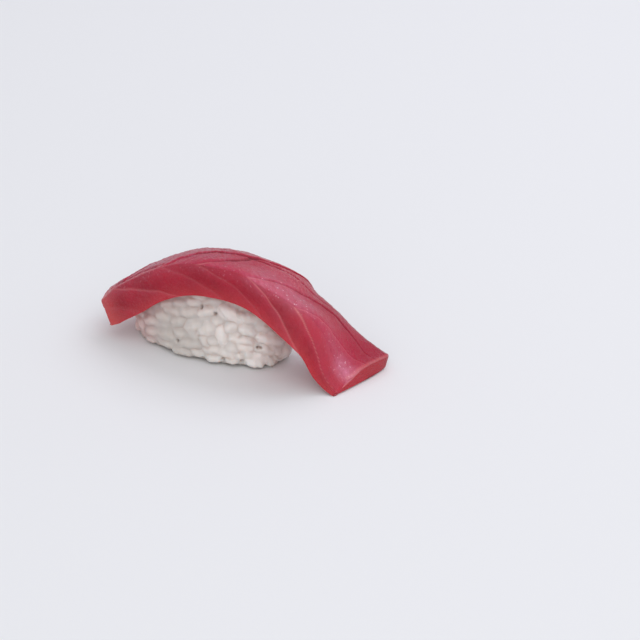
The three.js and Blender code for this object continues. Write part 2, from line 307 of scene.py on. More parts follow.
# %% [markdown]
# ## Building the slab
# The slab is a grid: columns along the centre line, and in each column a closed ring of
# points round the cross-section, up the near face, over the top, down the far face and
# back along the underside. A cube cut up by a modifier would do for a plain slab, but
# here every point has to know where it lies on the fish.

# %% Rings round the cross-section
NEAR_ROWS, TOP_ROWS, FAR_ROWS, UNDER_ROWS = 44, 118, 22, 28
FAR_UNDERCUT = 3.0


def spread(count, ends):
    """Values from 0 to 1, closer together towards both ends as ends grows to 1."""
    t = np.linspace(0, 1, count)
    return blend(t, (1 - np.cos(np.pi * t)) / 2, ends)


def ring_points(s):
    """The ring at each station: y across and height above the centre line. Then, for each point,
    its level between foot and ridge, 1 on the top and 0 elsewhere, and its distance from the ridge."""
    s = s[:, None]
    level_up = spread(NEAR_ROWS, 0.5)[None, :-1]
    near_y = NEAR_EDGE + lean_to(s, level_up)
    ridge_y = NEAR_EDGE + lean_to(s, np.ones((1, 1)))
    near_h = sag(s, near_y) + level_up * (thickness(s) + top_extra(s, ridge_y, 0 * s))
    near_h = near_h + (1 - level_up) * through(FOOT_LIFT, s)
    far_y = NEAR_EDGE + slice_width(s)
    across = spread(TOP_ROWS, 0.25)[None, :]
    top_y = blend(ridge_y, far_y, across)
    top_h = sag(s, top_y) + thickness(s) + top_extra(s, top_y, top_y - ridge_y)
    level_down = 1 - spread(FAR_ROWS, 0.5)[None, 1:]
    far_face_y = far_y - FAR_UNDERCUT * (1 - level_down)
    far_h = sag(s, far_face_y) + level_down * (thickness(s) + top_extra(s, far_y, far_y - ridge_y))
    under_y = blend(far_y - FAR_UNDERCUT, NEAR_EDGE, spread(UNDER_ROWS, 0.9)[None, 1:-1])
    under_h = foot(s, under_y)
    y = np.concatenate([near_y, top_y, far_face_y, under_y], 1)
    height = np.concatenate([near_h, top_h, far_h, under_h], 1)
    full = np.ones_like(s)
    level = np.concatenate(
        [level_up * full, np.ones_like(top_y), level_down * full, np.zeros_like(under_y)], 1
    )
    top_part = np.concatenate(
        [np.zeros_like(near_y), np.ones_like(top_y), np.zeros_like(far_h), np.zeros_like(under_y)], 1
    )
    return y, height, level, top_part, y - ridge_y


def soften(y, height, passes):
    """Rounds the ring's corners."""
    for _ in range(passes):
        y = (np.roll(y, 1, 1) + 2 * y + np.roll(y, -1, 1)) / 4
        height = (np.roll(height, 1, 1) + 2 * height + np.roll(height, -1, 1)) / 4
    return y, height


TINY = 1e-9  # keeps a division by a length from failing where the length is 0
SLIGHT = 1e-6  # the same for a measure in millimetres


def outward(y, height):
    """Unit direction out of the ring at each point."""
    ty = np.roll(y, -1, 1) - np.roll(y, 1, 1)
    th = np.roll(height, -1, 1) - np.roll(height, 1, 1)
    length = np.sqrt(ty * ty + th * th) + TINY
    return -th / length, ty / length


print("points in a ring:", NEAR_ROWS + TOP_ROWS + FAR_ROWS + UNDER_ROWS - 4)

# %% [markdown]
# ## Relief of the flakes
# Where two flakes meet, the top has a fine groove with a raised lip before it, and on the
# near face one flake stands a little proud of the next. A shallow valley follows the
# ridge on the left. All of it is real height on the points, because it shows in the
# outline and in grazing light, where a bump map would look flat.

# %% Relief of the flakes
GROOVE_WIDTH, GROOVE_DEPTH = 0.42, 0.62  # the depth is a share of the seam's own
LIP_REACH, LIP_HEIGHT = 3.2, 0.55
VALLEY_RUN, VALLEY_WIDTH, VALLEY_DEPTH = 1.9, 0.55, 0.45
STEP_HEIGHT, STEP_REACH = 0.16, 5.0  # on the near face, beyond a seam
NICK_DEPTH, NICK_WIDTH = 0.12, 0.6  # and on the seam itself
SIDE_WAVE = 0.07
TOP_WAVES = [  # height on the left and on the right, how fast it changes along and across, seed
    (0.10, 0.10, 0.55, 0.8, 4.0),
    (0.09, 0.04, 3.1, 2.3, 1.0),
    (0.05, 0.02, 6.1, 6.7, 3.0),
]


def valley(s, run):
    """1 along the shallow valley that follows the ridge over the left part of the slice."""
    along = ease(-38, -33, s) * (1 - ease(-21, -12, s))
    return along * np.exp(-(((run - VALLEY_RUN - 0.3 * np.sin(0.5 * s)) / VALLEY_WIDTH) ** 2))


def top_relief(s, y, run):
    """Height of the flakes on the top: a groove at each seam and a lip before it."""
    height = np.zeros_like(s)
    for left, right, along, across, seed in TOP_WAVES:
        height = height + blend(left, right, ease(-6, 4, s)) * wander(along * s, across * y, seed)
    height = height - VALLEY_DEPTH * valley(s, run)
    for seam in SEAMS:
        past = past_top_seam(seam, s, run, y)
        depth = seam["depth"] * before_turn(seam, run)
        groove = np.exp(-np.abs(past / GROOVE_WIDTH) ** 1.5)
        height = height - GROOVE_DEPTH * depth * groove
        lip = np.where(past < 0, np.exp(past / LIP_REACH), 0.0)
        height = height + LIP_HEIGHT * depth * lip * (1 - groove)
    return height


def side_relief(s, level):
    """The flakes' edges on the near face stand a little proud of each other."""
    height = SIDE_WAVE * wander(0.6 * s, 6 * level, 9.0)
    for seam in SEAMS:
        down = past_side_seam(seam, s, level)
        step = STEP_HEIGHT * np.where(down > 0, np.exp(-down / STEP_REACH), 0)
        height = height + step - NICK_DEPTH * np.exp(-(down / NICK_WIDTH) ** 2)
    return height


print("deepest groove", round(GROOVE_DEPTH * max(seam["depth"] for seam in SEAMS), 2), "mm")

# %% [markdown]
# ## From rings to a grid
# There is one ring for each column, and the last few at both ends are drawn in, so that
# the ends get a rounded edge. The rings' corners are softened by averaging each point
# with its neighbours: a few rounds where the edge is crisp, and many where the flesh has
# settled. The relief comes last, so that the grooves stay crisp on soft edges.

# %% The slab's grid of points
COLUMNS = 436
ROUND_ENDS = 9  # columns in the rounded edge at each end
EDGE_ROUND = 0.6
CRISP_PASSES, SOFT_PASSES = 10, 110


def stations():
    """Where the columns stand along the slice, and how far each is drawn in at the ends."""
    quarter = np.linspace(np.pi / 2, 0, ROUND_ENDS + 1)[:-1]
    corner = EDGE_ROUND * (1 - np.sin(quarter))
    left = -SLICE_LEFT + corner
    right = SLICE_RIGHT - corner[::-1]
    inner_columns = COLUMNS - 2 * ROUND_ENDS
    inner = np.linspace(-SLICE_LEFT + EDGE_ROUND, SLICE_RIGHT - EDGE_ROUND, inner_columns)
    drawn_in = EDGE_ROUND * (1 - np.cos(quarter))
    return (
        np.concatenate([left, inner, right]),
        np.concatenate([drawn_in, np.zeros(len(inner)), drawn_in[::-1]]),
    )


station, drawn_in = stations()
ring_y, ring_h, ring_level, ring_top, ring_run = ring_points(station)
crisp_y, crisp_h = soften(ring_y, ring_h, CRISP_PASSES)
soft_y, soft_h = soften(crisp_y, crisp_h, SOFT_PASSES)
soft_in_middle = ease(-8, -3, station) * (1 - ease(3, 8, station))
soft_on_right = 0.9 * ease(22, 31, station)
rounded = np.maximum(soft_in_middle, soft_on_right)[:, None] * ease(0.35, 0.7, ring_level)
ring_y, ring_h = blend(crisp_y, soft_y, rounded), blend(crisp_h, soft_h, rounded)
out_y, out_h = outward(ring_y, ring_h)
station_grid = station[:, None] * np.ones_like(ring_y)
on_ridge = ease(0.0, 1.6, ring_run) * ring_top
relief = top_relief(station_grid, ring_y, ring_run) * on_ridge
near_face = (1 - ring_top) * (ring_y < 0)
between_edges = np.clip(6 * ring_level * (1 - ring_level), 0, 1) * near_face
relief = relief + side_relief(station_grid, ring_level) * between_edges
grid_y = ring_y + out_y * (relief - drawn_in[:, None])
grid_h = ring_h + out_h * (relief - drawn_in[:, None])
print("slab grid", grid_y.shape, "relief", relief.min().round(2), "to", relief.max().round(2))

# %% [markdown]
# ## The cut ends
# The knife left both ends nearly square, but not flat. On the right its cut bulges in the
# middle, leans back towards the top, and has taken the near corner off as a slanting
# facet. On the left the top reaches further than the foot. Each cut is a formula for how
# far along the slice it lies, so the same formula shapes the last columns and the caps.

# %% Where the knife cut
BULGE, LEAN_BACK, FACET_DEPTH = 10.6, 1.7, 0.6
LEFT_OVERHANG, LEFT_FAR_SIDE = 2.25, 2.4
CUT_REACH = 12  # the columns this near to an end follow its cut
TUCK = 5.0  # how far the near part of the right end is tucked in
TUCK_WAY = np.array([-0.480, 0.769, -0.423])  # back along the slice, away from the near side, down


def past_facet(across, level):
    """Below 0 on the slanting facet at the near corner, and above 0 beyond its crease."""
    return across - 0.46 * level + 0.055 * level ** 2


def right_cut(across, level):
    """Where the right cut lies along the slice, at a share of its width and of its thickness."""
    bulge = BULGE * across * (1 - across) + 0.6 * across
    lean_back = LEAN_BACK * level * (1 - across ** 2)
    facet = FACET_DEPTH * np.clip(-past_facet(across, level) / 0.25, 0, None)
    return RIGHT_END + 0.2 + bulge - lean_back - facet


def left_cut(across, level):
    """The same for the left cut."""
    overhang = LEFT_OVERHANG * (0.53 - level)
    return LEFT_END + overhang + LEFT_FAR_SIDE * across ** 2 + 0.5 * np.sin(9 * across) * across


def cut_shares(s, y, height):
    """Which share of the width and of the thickness a point of the cross-section lies at."""
    across = np.clip((y - NEAR_EDGE) / slice_width(s), 0, 1)
    level = np.clip((height - sag(s, y)) / thickness(s), 0, 1)
    return across, level


def onto_table(points):
    """Lifts what would sink into the table."""
    return np.maximum(points, [-np.inf, -np.inf, 0.0])


def place_cut(s, y, height):
    """Moves the last columns to the knife's cuts, and tucks the right end in."""
    across, level = cut_shares(s, y, height)
    right = ease(RIGHT_END - CUT_REACH, RIGHT_END, s) * (right_cut(across, level) - RIGHT_END)
    left = ease(LEFT_END + CUT_REACH, LEFT_END, s) * (left_cut(across, level) - LEFT_END)
    tucked = TUCK * ease(26, 44, s) * np.clip(1 - ((across - 0.3) / 0.6) ** 2, 0, None)
    return place(s + right + left, y, height) + tucked[..., None] * TUCK_WAY


grid = onto_table(place_cut(station_grid, grid_y, grid_h))
print("slab reaches z", grid[..., 2].min().round(2), "to", grid[..., 2].max().round(2))

# %% [markdown]
# ## Closing the cuts
# The grid is still open at both ends. Each is closed with rings that shrink onto a line
# half way up the cut. One large face would be less work, but it couldn't bulge, and it
# would have no points to carry the marks that colour the cut.

# %% Close the slab into one mesh
CAP_RINGS = 14
CAP_STEPS = np.linspace(0, 1, CAP_RINGS + 1)[1:]
FIRST_UNDER = NEAR_ROWS + TOP_ROWS + FAR_ROWS - 2  # where the underside starts in a ring


def cap_rings(y, height, s):
    """Rings inside an end ring, which close on a line half way up the cut."""
    line_y = y[FIRST_UNDER:]
    middle_y = line_y[np.abs(y[:, None] - line_y).argmin(1)]
    order = np.argsort(y[: NEAR_ROWS + TOP_ROWS - 1])
    upper = np.interp(middle_y, y[order], height[order])
    lower = np.interp(middle_y, line_y[::-1], height[FIRST_UNDER:][::-1])
    middle_h = (upper + lower) / 2
    rings, shares = [], []
    for t in CAP_STEPS:
        inner_y, inner_h = blend(y, middle_y, t), blend(height, middle_h, t)
        rings.append(onto_table(place_cut(s * np.ones_like(inner_y), inner_y, inner_h)))
        shares.append(cut_shares(s, inner_y, inner_h))
    return rings, np.array(shares)


def build_slab():
    """The slab's points and faces, and the shares at which the points of both cuts lie."""
    left_rings, left_shares = cap_rings(grid_y[0], grid_h[0], LEFT_END)
    right_rings, right_shares = cap_rings(grid_y[-1], grid_h[-1], RIGHT_END)
    rings = left_rings[::-1] + list(grid) + right_rings
    count = grid.shape[1]
    k = np.arange(count)
    faces = []
    for ring in range(len(rings) - 1):
        a, b = ring * count + k, ring * count + (k + 1) % count
        faces.append(np.stack([a, a + count, b + count, b], -1))
    return np.concatenate(rings), np.concatenate(faces).tolist(), left_shares[::-1], right_shares


points, faces, left_shares, right_shares = build_slab()
mesh = bpy.data.meshes.new("tuna_slab")
mesh.from_pydata(to_metres(points).tolist(), [], faces)
slab = bpy.data.objects.new("tuna_slab", mesh)
bpy.context.collection.objects.link(slab)
print("slab", len(mesh.vertices), "points,", len(mesh.polygons), "faces")

# %% [markdown]
# ## Marks for the fish's colours
# A mark is a number on every point, mostly from 0 to 1, such as how near the point lies
# to a seam. The finish reads the marks and tints the meat with them. They come from the
# same measures as the shape, so each colour lies exactly on its groove or edge. Painting
# on an image would do too, but then the slab has to be laid out flat first.

# %% Helpers for marks
def on_all_rings(values, left=0.0, right=0.0):
    """Marks for every point: values along the slab, left and right for the two cut ends."""
    first = left * np.ones((CAP_RINGS, values.shape[1]))
    last = right * np.ones((CAP_RINGS, values.shape[1]))
    return np.concatenate([first, values, last]).ravel()


def mark_points(target, name, values):
    """Stores one number for each point of a mesh, by a name that a finish can read."""
    layer = target.attributes.new(name, "FLOAT", "POINT")
    layer.data.foreach_set("value", np.asarray(values, np.float32).ravel())


def mark_slab(name, values, left=0.0, right=0.0):
    """Stores a mark on the whole slab, and prints its range."""
    everywhere = on_all_rings(values, left, right)
    mark_points(mesh, name, everywhere)
    print("mark", name, "runs from", everywhere.min().round(2), "to", everywhere.max().round(2))


left_across, left_level = left_shares[:, 0], left_shares[:, 1]
right_across, right_level = right_shares[:, 0], right_shares[:, 1]
past_crease = past_facet(right_across, right_level)
on_facet = past_crease < 0
print("the slanting facet takes up", on_facet.mean().round(2), "of the right cut's points")

# %% [markdown]
# ## Seams, flakes and grooves
# Beside each groove runs a pale line of connective tissue. The meat is painted paler on
# one side of it and darker on the other, as painted light and shade, and the bottom of
# each groove and the valley on the left get painted shade. All of that fades with the
# distance from the seam, so each mark is the strongest of what the seams give. Painted
# highlights along the right edge, the left rim and the facet's crease, and the fine
# marbled patch on the top, are added singly.

# %% Marks along the seams
PALE_BEYOND, PALE_WIDTH = 0.7, 0.4  # the pale line on the top, beyond its groove
SIDE_WIDE, SIDE_NARROW = 0.85, 0.48  # on the near face, for a faint and for a pale seam
TOP_FLAKE_REACH, SIDE_FLAKE_REACH = 3.0, 4.0
SHADE_START, SHADE_REACH = 0.5, 3.5
DARK_BEFORE, DARK_WIDTH = 0.1, 0.34
CREASE_LINE = 0.016
VALLEY_SHADE = 0.7


def seam_mark(s, y, run, level, top_part):
    """How much of the pale seam shows at each point, from 0 to 1."""
    mark = np.zeros_like(s)
    for seam in SEAMS:
        past = past_top_seam(seam, s, run, y)
        broken = 0.55 + 0.45 * wander(1.3 * run, 0.4 * run, seam["ridge"])
        on_top = np.exp(-((past - PALE_BEYOND) / PALE_WIDTH) ** 2) * 0.75 * broken
        on_top = on_top * (1 - ease(5, 16, run))
        down = past_side_seam(seam, s, level)
        width = blend(SIDE_WIDE, SIDE_NARROW, seam["pale"])
        on_side = np.exp(-(down / width) ** 2) * seam["pale"] * blend(0.45, 1.0, level)
        mark = np.maximum(mark, np.where(top_part > 0.5, on_top, on_side * (level > 0.02)))
    return mark


def painted_flake_light_mark(s, y, run, level, top_part):
    """How close each point is to the side of a seam that is painted paler as painted light: beyond it on
    top, before it below.
    """
    mark = np.zeros_like(s)
    for seam in SEAMS:
        past = past_top_seam(seam, s, run, y)
        on_top = np.where(past > 0, np.exp(-past / TOP_FLAKE_REACH), 0.0) * (1 - ease(9, 18, run))
        down = past_side_seam(seam, s, level)
        on_side = np.where(down < 0, np.exp(down / SIDE_FLAKE_REACH), 0.0)
        mark = np.maximum(mark, blend(on_side, on_top, top_part) * blend(0.35, 1.0, seam["pale"]))
    return mark


def painted_flake_shade_mark(s, level):
    """How close each point of the near face is to the side of a seam, beyond it, that gets painted shade.
    """
    mark = np.zeros_like(s)
    for seam in SEAMS:
        down = past_side_seam(seam, s, level)
        beyond = down - SHADE_START
        shade = np.where(beyond > 0, np.exp(-beyond / SHADE_REACH), 0.0)
        mark = np.maximum(mark, shade * seam["pale"])
    return mark


def groove_shade_mark(s, y, run):
    """Painted shade at the bottom of each groove on the top, fading in from the ridge."""
    mark = np.zeros_like(s)
    for seam in SEAMS:
        past = past_top_seam(seam, s, run, y)
        line = np.exp(-((past + DARK_BEFORE) / DARK_WIDTH) ** 2)
        line = line * ease(2, 6, run) * 2.0 * seam["depth"]
        line = line * before_turn(seam, run)
        uneven = 0.6 + 0.4 * wander(0.7 * run, 0.3 * run, 2 + seam["ridge"])
        mark = np.maximum(mark, line * uneven)
    return np.clip(mark, 0, 1)


seam_values = seam_mark(station_grid, ring_y, ring_run, ring_level, ring_top)
# painted highlights along the right end's top edge, the left rim of the ridge and the facet's crease,
# stored in the seam mark together with the real pale seams
painted_edge_highlight = 0.7 * np.exp(-(((RIGHT_END - station_grid) / 0.5) ** 2)) * ring_top
rim_fades = 1 - ease(-20, -8, station_grid)
painted_rim_highlight = 0.45 * np.exp(-(((ring_run - 0.7) / 0.45) ** 2)) * rim_fades * ring_top
crease_shine = 0.9 * np.exp(-((past_crease / CREASE_LINE) ** 2))
mark_slab("seam", np.maximum.reduce([seam_values, painted_edge_highlight, painted_rim_highlight]), 0.1, crease_shine)
# painted shade at the bottom of the grooves and in the valley on the left
painted_groove_shade = groove_shade_mark(station_grid, ring_y, ring_run)
painted_valley_shade = VALLEY_SHADE * valley(station_grid, ring_run)
mark_slab("groove", np.maximum(painted_groove_shade, painted_valley_shade) * ring_top)
# painted light and shade: each seam gets one side painted paler and the other darker
mark_slab("flake", painted_flake_light_mark(station_grid, ring_y, ring_run, ring_level, ring_top))
mark_slab("painted_flake_shade", painted_flake_shade_mark(station_grid, ring_level) * near_face)
# painted light: the last flake faces up more, and its part of the near face is painted paler
past_last_seam = past_side_seam(SEAMS[-1], station_grid, ring_level)
mark_slab("last_flake_painted_light", ease(0.0, 1.2, past_last_seam) * near_face)
marbled = np.exp(-((station_grid - 13.5) / 6) ** 2 - ((ring_y - 3.5) / 4) ** 2) * ring_top
mark_slab("marbled", marbled)

# %% [markdown]
# ## Where the fish glistens
# Light from behind glances off the wet top in a band beside the ridge. It is broad as far
# as the middle, narrow beyond, and brightest at the right end. On the left the cut fibres
# break it up into a faint lilac shimmer. A lamp gives the shine, and both places also get
# a mark that makes the coat wetter and paints a paler lilac sheen and glints into the
# colour, as painted highlight. The far part on the right gets painted shade, which keeps
# it dark.

# %% Marks of the shine
SHEEN = [(-38, 0.3), (-20, 0.4), (5, 0.4), (11, 1.0), (21, 1.0), (27, 0.35), (34, 0.45), (40, 1.9)]
BAND_MIDDLE, BAND_TO_RIDGE = 1.0, 1.7
BAND_WIDE, BAND_NARROW = 9.0, 3.6  # how far it reaches over the top
RIGHT_SHIMMER = 0.12
FACET_SHEEN = 1.3

# painted sheen: this band paints a paler lilac sheen into the colour, besides making the coat wetter
from_band = ring_run - BAND_MIDDLE
reach_over = blend(BAND_WIDE, BAND_NARROW, ease(19, 27, station_grid))
sheen = np.exp(-((from_band / np.where(from_band > 0, reach_over, BAND_TO_RIDGE)) ** 2))
sheen = sheen * through(SHEEN, station_grid) * ease(0.5, 0.9, ring_level) * (ring_y < 9)
# the slanting facet at the right end gets the painted sheen too
mark_slab("sheen", sheen, 0.0, FACET_SHEEN * on_facet)
mark_slab("shimmer", ring_top * blend(ease(1.5, 4, ring_run), RIGHT_SHIMMER, ease(-6, 8, station_grid)))
# painted shade: the far part of the top on the right is painted darker, as it catches no shine
mark_slab("far_top_painted_shade", ease(5, 12, ring_run) * ease(10, 24, station_grid) * ring_top)

# %% [markdown]
# ## The edges of the slice
# Thin edges let light through, so they are painted paler, as painted light. The far rim
# turns away from the light and is painted darker, as painted shade. The left tip, which is
# both thin and wet, is painted paler, as painted light. These marks follow the outline,
# and one tells the top from the sides; the top is painted paler, as painted light.

# %% Marks of the edges
from_far = NEAR_EDGE + slice_width(station_grid) - ring_y
# painted shade: the far rim is painted darker, as it turns away from the light
far_rim_painted_shade = (1 - ease(1.5, 5.5, from_far - 1.5 * (station_grid < 0))) * ease(0.3, 0.9, ring_level)
mark_slab("far_rim_painted_shade", far_rim_painted_shade * (ring_y > 0))
# the finish paints the top paler with this mark, as painted light
mark_slab("on_top", ring_top, 0.3, blend(0.25, 1.0, on_facet))
# painted light: the lower edge of the near face and both cut faces are painted paler, for light through
# thin flesh
mark_slab("thin_edge_painted_glow", (1 - ease(0.0, 0.55, ring_level)) * near_face, 0.9, 0.9)
# painted light: the thin, wet left tip and the left cut are painted paler
left_tip_painted_glow = np.exp(-(((station_grid - LEFT_END) / 4.5) ** 2)) * blend(1.1, 1.5, ring_top)
mark_slab("left_tip_painted_glow", left_tip_painted_glow, 0.9)

# %% [markdown]
# ## The run of the fibres
# Muscle fibres run slantwise over the top, and at a flatter slant along the near face. A
# noise that is stretched along them needs to know that direction, so two marks give
# every point its place across and along the fibres, and a third its height on the slab.

# %% Marks of the fibres
SLANTED = 0.7071  # the sine of 45 degrees
fibre_a = blend((station_grid + ring_y) * SLANTED, 0.3 * (station_grid + 25 * ring_level), near_face)
fibre_b = blend((station_grid - ring_y) * SLANTED, station_grid, near_face)
mark_slab("fibre_a", fibre_a, 4 * left_level, 4 * right_level)
mark_slab("fibre_b", fibre_b, 26 * left_across, 28 * right_across)
mark_slab("level", ring_level, left_level, 4 * right_level)

# %% [markdown]
# ## Joining the points that meet
# The last ring of each cut lies on one line, so many points there share a place. They
# are joined, because a skin that is open has no inside for the light to scatter in.

# %% Join the points that meet in the two cuts
SAME_PLACE = 1e-6
joined = bmesh.new()
joined.from_mesh(mesh)
bmesh.ops.remove_doubles(joined, verts=joined.verts, dist=SAME_PLACE)
bmesh.ops.recalc_face_normals(joined, faces=joined.faces)
joined.to_mesh(mesh)
open_edges = sum(not edge.is_manifold for edge in joined.edges)
joined.free()
mesh.shade_smooth()
print("slab closed", len(mesh.polygons), "faces,", open_edges, "open edges")

# %% [markdown]
# ## Where the rice may be
# A cook's hand presses the rice into a blunt oval that is flat below and follows the fish
# above. Every grain has to stay inside that room, so it is written as three distances:
# to the oval wall, to the table and to the underside of the slice.

# %% The rice ball's room
RICE_TURN = math.radians(1.5)
RICE_SHIFT = np.array([-0.4, 0.0])
RICE_HALF = np.array([23.7, 12.1])  # half its length and half its width
RICE_HEIGHT = 25.0
OVAL_POWER = 2.3  # 2 is an ellipse, and more is nearer to a rectangle
FOOT_SHARE, FOOT_HEIGHT = 0.95, 4.0  # the ball is a little smaller at the table


def reach(z):
    """The oval's size at a height, as a share of its widest."""
    share = np.clip(z / RICE_HEIGHT, 0, 0.995)
    return (1 - share ** 3) ** (1 / 3) * blend(FOOT_SHARE, 1.0, ease(0, FOOT_HEIGHT, z))


def wall_room(points):
    """Distance inside the oval wall, and the direction that leads out of it."""
    c, n = math.cos(-RICE_TURN), math.sin(-RICE_TURN)
    px, py = points[..., 0] - RICE_SHIFT[0], points[..., 1] - RICE_SHIFT[1]
    x, y = c * px - n * py, n * px + c * py
    ax, ay = np.abs(x) / RICE_HALF[0] + SLIGHT, np.abs(y) / RICE_HALF[1] + SLIGHT
    oval = (ax ** OVAL_POWER + ay ** OVAL_POWER) ** (1 / OVAL_POWER)
    gx = oval ** (1 - OVAL_POWER) * ax ** (OVAL_POWER - 1) * np.sign(x) / RICE_HALF[0]
    gy = oval ** (1 - OVAL_POWER) * ay ** (OVAL_POWER - 1) * np.sign(y) / RICE_HALF[1]
    steep = np.sqrt(gx * gx + gy * gy) + TINY
    out_x = c * gx / steep + n * gy / steep
    out_y = -n * gx / steep + c * gy / steep
    return (reach(points[..., 2]) - oval) / steep, np.stack([out_x, out_y, np.zeros_like(gx)], -1)


UNDER_FROM, UNDER_TO, UNDER_STEP = -39.0, 34.1, 0.25  # the part of the slice above the rice
under_s = np.arange(UNDER_FROM, UNDER_TO, UNDER_STEP)
under_line = place(under_s, 0.0, 0.0)
under_slope = np.interp(under_s, line_s, line_slope)


def fish_room(points):
    """Distance below the slice's underside, and the direction that leads up to it."""
    flat = points.reshape(-1, 3)
    step_x = flat[:, None, 0] - under_line[None, :, 0]
    step_z = flat[:, None, 2] - under_line[None, :, 2]
    near = (step_x ** 2 + step_z ** 2).argmin(1)
    slope = under_slope[near]
    dx, dz = flat[:, 0] - under_line[near, 0], flat[:, 2] - under_line[near, 2]
    height = dx * np.sin(slope) + dz * np.cos(slope)
    room = foot(under_s[near], flat[:, 1]) - height
    up = np.stack([np.sin(slope), np.zeros_like(slope), np.cos(slope)], -1)
    return room.reshape(points.shape[:-1]), up.reshape(points.shape)


print("from the middle of the foot up to the fish:", fish_room(np.zeros((1, 3)))[0][0].round(1), "mm")

# %% [markdown]
# ## Grains laid one by one
# The eye knows rice by its single grains, so those on the side that is seen first are
# laid one by one: a turn round the ball, a height, a tilt, a size, and how far each stands
# proud of its neighbours. The list takes patience to write, but it puts each grain where
# it belongs, which no scattering does.

# %% Grains laid one by one
LAID_GRAINS = [  # turn (degrees), height, tilt (degrees), length, width, how far proud
    (-107, 13.0, -5, 4.5, 2.5, 0.2), (-99, 15.5, 5, 5.5, 3.0, 0.2), (-89, 16.8, 5, 4.5, 3.0, 0.6),
    (-71, 18.0, 0, 6.0, 2.8, 0.2), (-91, 14.0, 15, 6.5, 3.2, 0.6), (-78, 15.2, 20, 4.8, 3.3, 0.9),
    (-57, 15.5, -30, 6.8, 3.6, 0.9), (-37, 14.3, -20, 6.8, 3.6, 0.5), (-152, 3.8, 85, 3.8, 2.4, 0.4),
    (-138, 5.6, -80, 4.0, 2.5, 0.6), (-125, 7.9, 15, 5.2, 2.8, 0.7), (-113, 10.3, -5, 6.0, 3.6, 0.5),
    (-100, 10.6, 20, 4.8, 3.4, 0.3), (-87, 10.5, 20, 5.6, 3.8, 0.7), (-77, 10.3, 30, 5.8, 4.0, 0.8),
    (-70, 12.3, -45, 4.2, 3.2, 0.2), (-66, 9.4, -83, 4.8, 2.8, 1.1), (-59, 11.8, 30, 4.0, 3.0, 0.5),
    (-57, 9.3, 30, 3.6, 2.2, 0.4), (-45, 11.5, -15, 5.4, 3.8, 0.4), (-29, 11.5, -20, 5.6, 3.4, 0.4),
    (-50, 8.6, -10, 5.6, 2.6, 0.8), (-25, 8.6, -25, 7.0, 3.2, 0.9), (-123, 4.9, 10, 6.0, 3.2, 0.4),
    (-110, 5.5, 5, 6.2, 4.4, 0.6), (-98, 7.3, 10, 4.2, 2.8, 0.3), (-90, 4.8, 8, 6.5, 3.2, 0.5),
    (-78, 6.5, -60, 4.6, 3.0, 0.3), (-72, 7.3, 10, 3.6, 2.8, 0.2), (-57, 6.3, 10, 4.4, 2.9, 0.7),
    (-49, 6.9, 0, 4.2, 2.9, 0.9), (-40, 7.2, -55, 4.0, 2.4, 0.3), (-29, 5.8, -30, 4.8, 3.2, 0.6),
    (-16, 5.0, -50, 5.6, 3.2, 0.4), (-128, 1.8, 5, 3.6, 2.2, 0.3), (-110, 2.8, 0, 5.0, 2.4, 0.5),
    (-96, 2.0, 0, 6.4, 3.0, 0.7), (-84, 2.9, -5, 4.0, 3.0, 0.5), (-73, 4.6, 5, 4.8, 2.4, 0.6),
    (-63, 4.4, -5, 5.2, 2.4, 0.5), (-72, 2.0, 5, 4.2, 2.8, 0.6), (-58, 2.4, 5, 4.2, 2.4, 0.5),
    (-53, 4.0, -15, 2.6, 2.4, 0.3), (-47, 4.8, -40, 3.4, 2.8, 0.5), (-37, 3.4, -30, 4.6, 3.8, 0.7),
    (-27, 2.8, -60, 5.0, 3.0, 0.4), (-12, 2.5, -30, 4.0, 2.0, 0.2), (-42, 2.1, -20, 3.6, 3.0, 1.3),
    (-36, 2.3, -65, 3.0, 2.6, 1.2), (0, 4.4, 70, 5.5, 3.5, 0.9),
    (-47, 14.6, -25, 5.2, 3.2, 0.4), (-30, 14.2, -40, 4.6, 3.0, 0.4), (-18, 9.6, -45, 4.6, 3.2, 0.6),
    (-112, 14.2, 10, 4.6, 3.0, 0.3), (-84, 18.6, 0, 5.4, 2.8, 0.3), (-103, 12.8, 10, 4.6, 2.8, 0.3),
]
LENGTH_GAIN, LENGTH_MORE, WIDTH_GAIN = 1.18, 0.3, 1.12  # a grain is larger than what shows of it
LEAST_PROUD, PROUD_SHARE = 0.15, 0.62
LAID_BELOW_FISH, LAID_ON_TABLE = 0.1, 0.42
UP = np.array([0.0, 0.0, 1.0])


def ball_wall(turn, height, inset=0.0):
    """The ball's wall at a turn round it, in degrees, and a height."""
    angle = np.radians(turn)
    powers = np.abs(np.cos(angle)) ** OVAL_POWER + np.abs(np.sin(angle)) ** OVAL_POWER
    oval = powers ** (-1 / OVAL_POWER)
    x = (RICE_HALF[0] * reach(height) - inset) * oval * np.cos(angle)
    y = (RICE_HALF[1] * reach(height) - inset) * oval * np.sin(angle)
    c, n = math.cos(RICE_TURN), math.sin(RICE_TURN)
    x, y = c * x - n * y + RICE_SHIFT[0], n * x + c * y + RICE_SHIFT[1]
    return np.stack([x, y, height * np.ones_like(x)], -1)


def laid_grains():
    """Centre, axis, length, radius and how far proud, of each listed grain."""
    turn, height, tilt, length, width, proud = np.array(LAID_GRAINS, float).T
    length = LENGTH_GAIN * length + LENGTH_MORE
    width = WIDTH_GAIN * width
    proud = LEAST_PROUD + PROUD_SHARE * proud
    wall = ball_wall(turn, height)
    out = wall_room(wall)[1]
    tilt = np.radians(tilt)[:, None]
    axis = np.cross(UP, out) * np.cos(tilt) + UP * np.sin(tilt)
    centre = wall - out * (width / 2 - proud)[:, None]
    room, up = fish_room(centre)
    centre = centre + up * np.minimum(room - width / 2 - LAID_BELOW_FISH, 0)[:, None]
    centre[:, 2] = np.maximum(centre[:, 2], LAID_ON_TABLE * width)
    return centre, axis, length, width / 2, proud


laid = laid_grains()
laid_x = laid[0][:, 0]
print("laid by hand", len(laid_x), "grains, from x", laid_x.min().round(1), "to", laid_x.max().round(1))

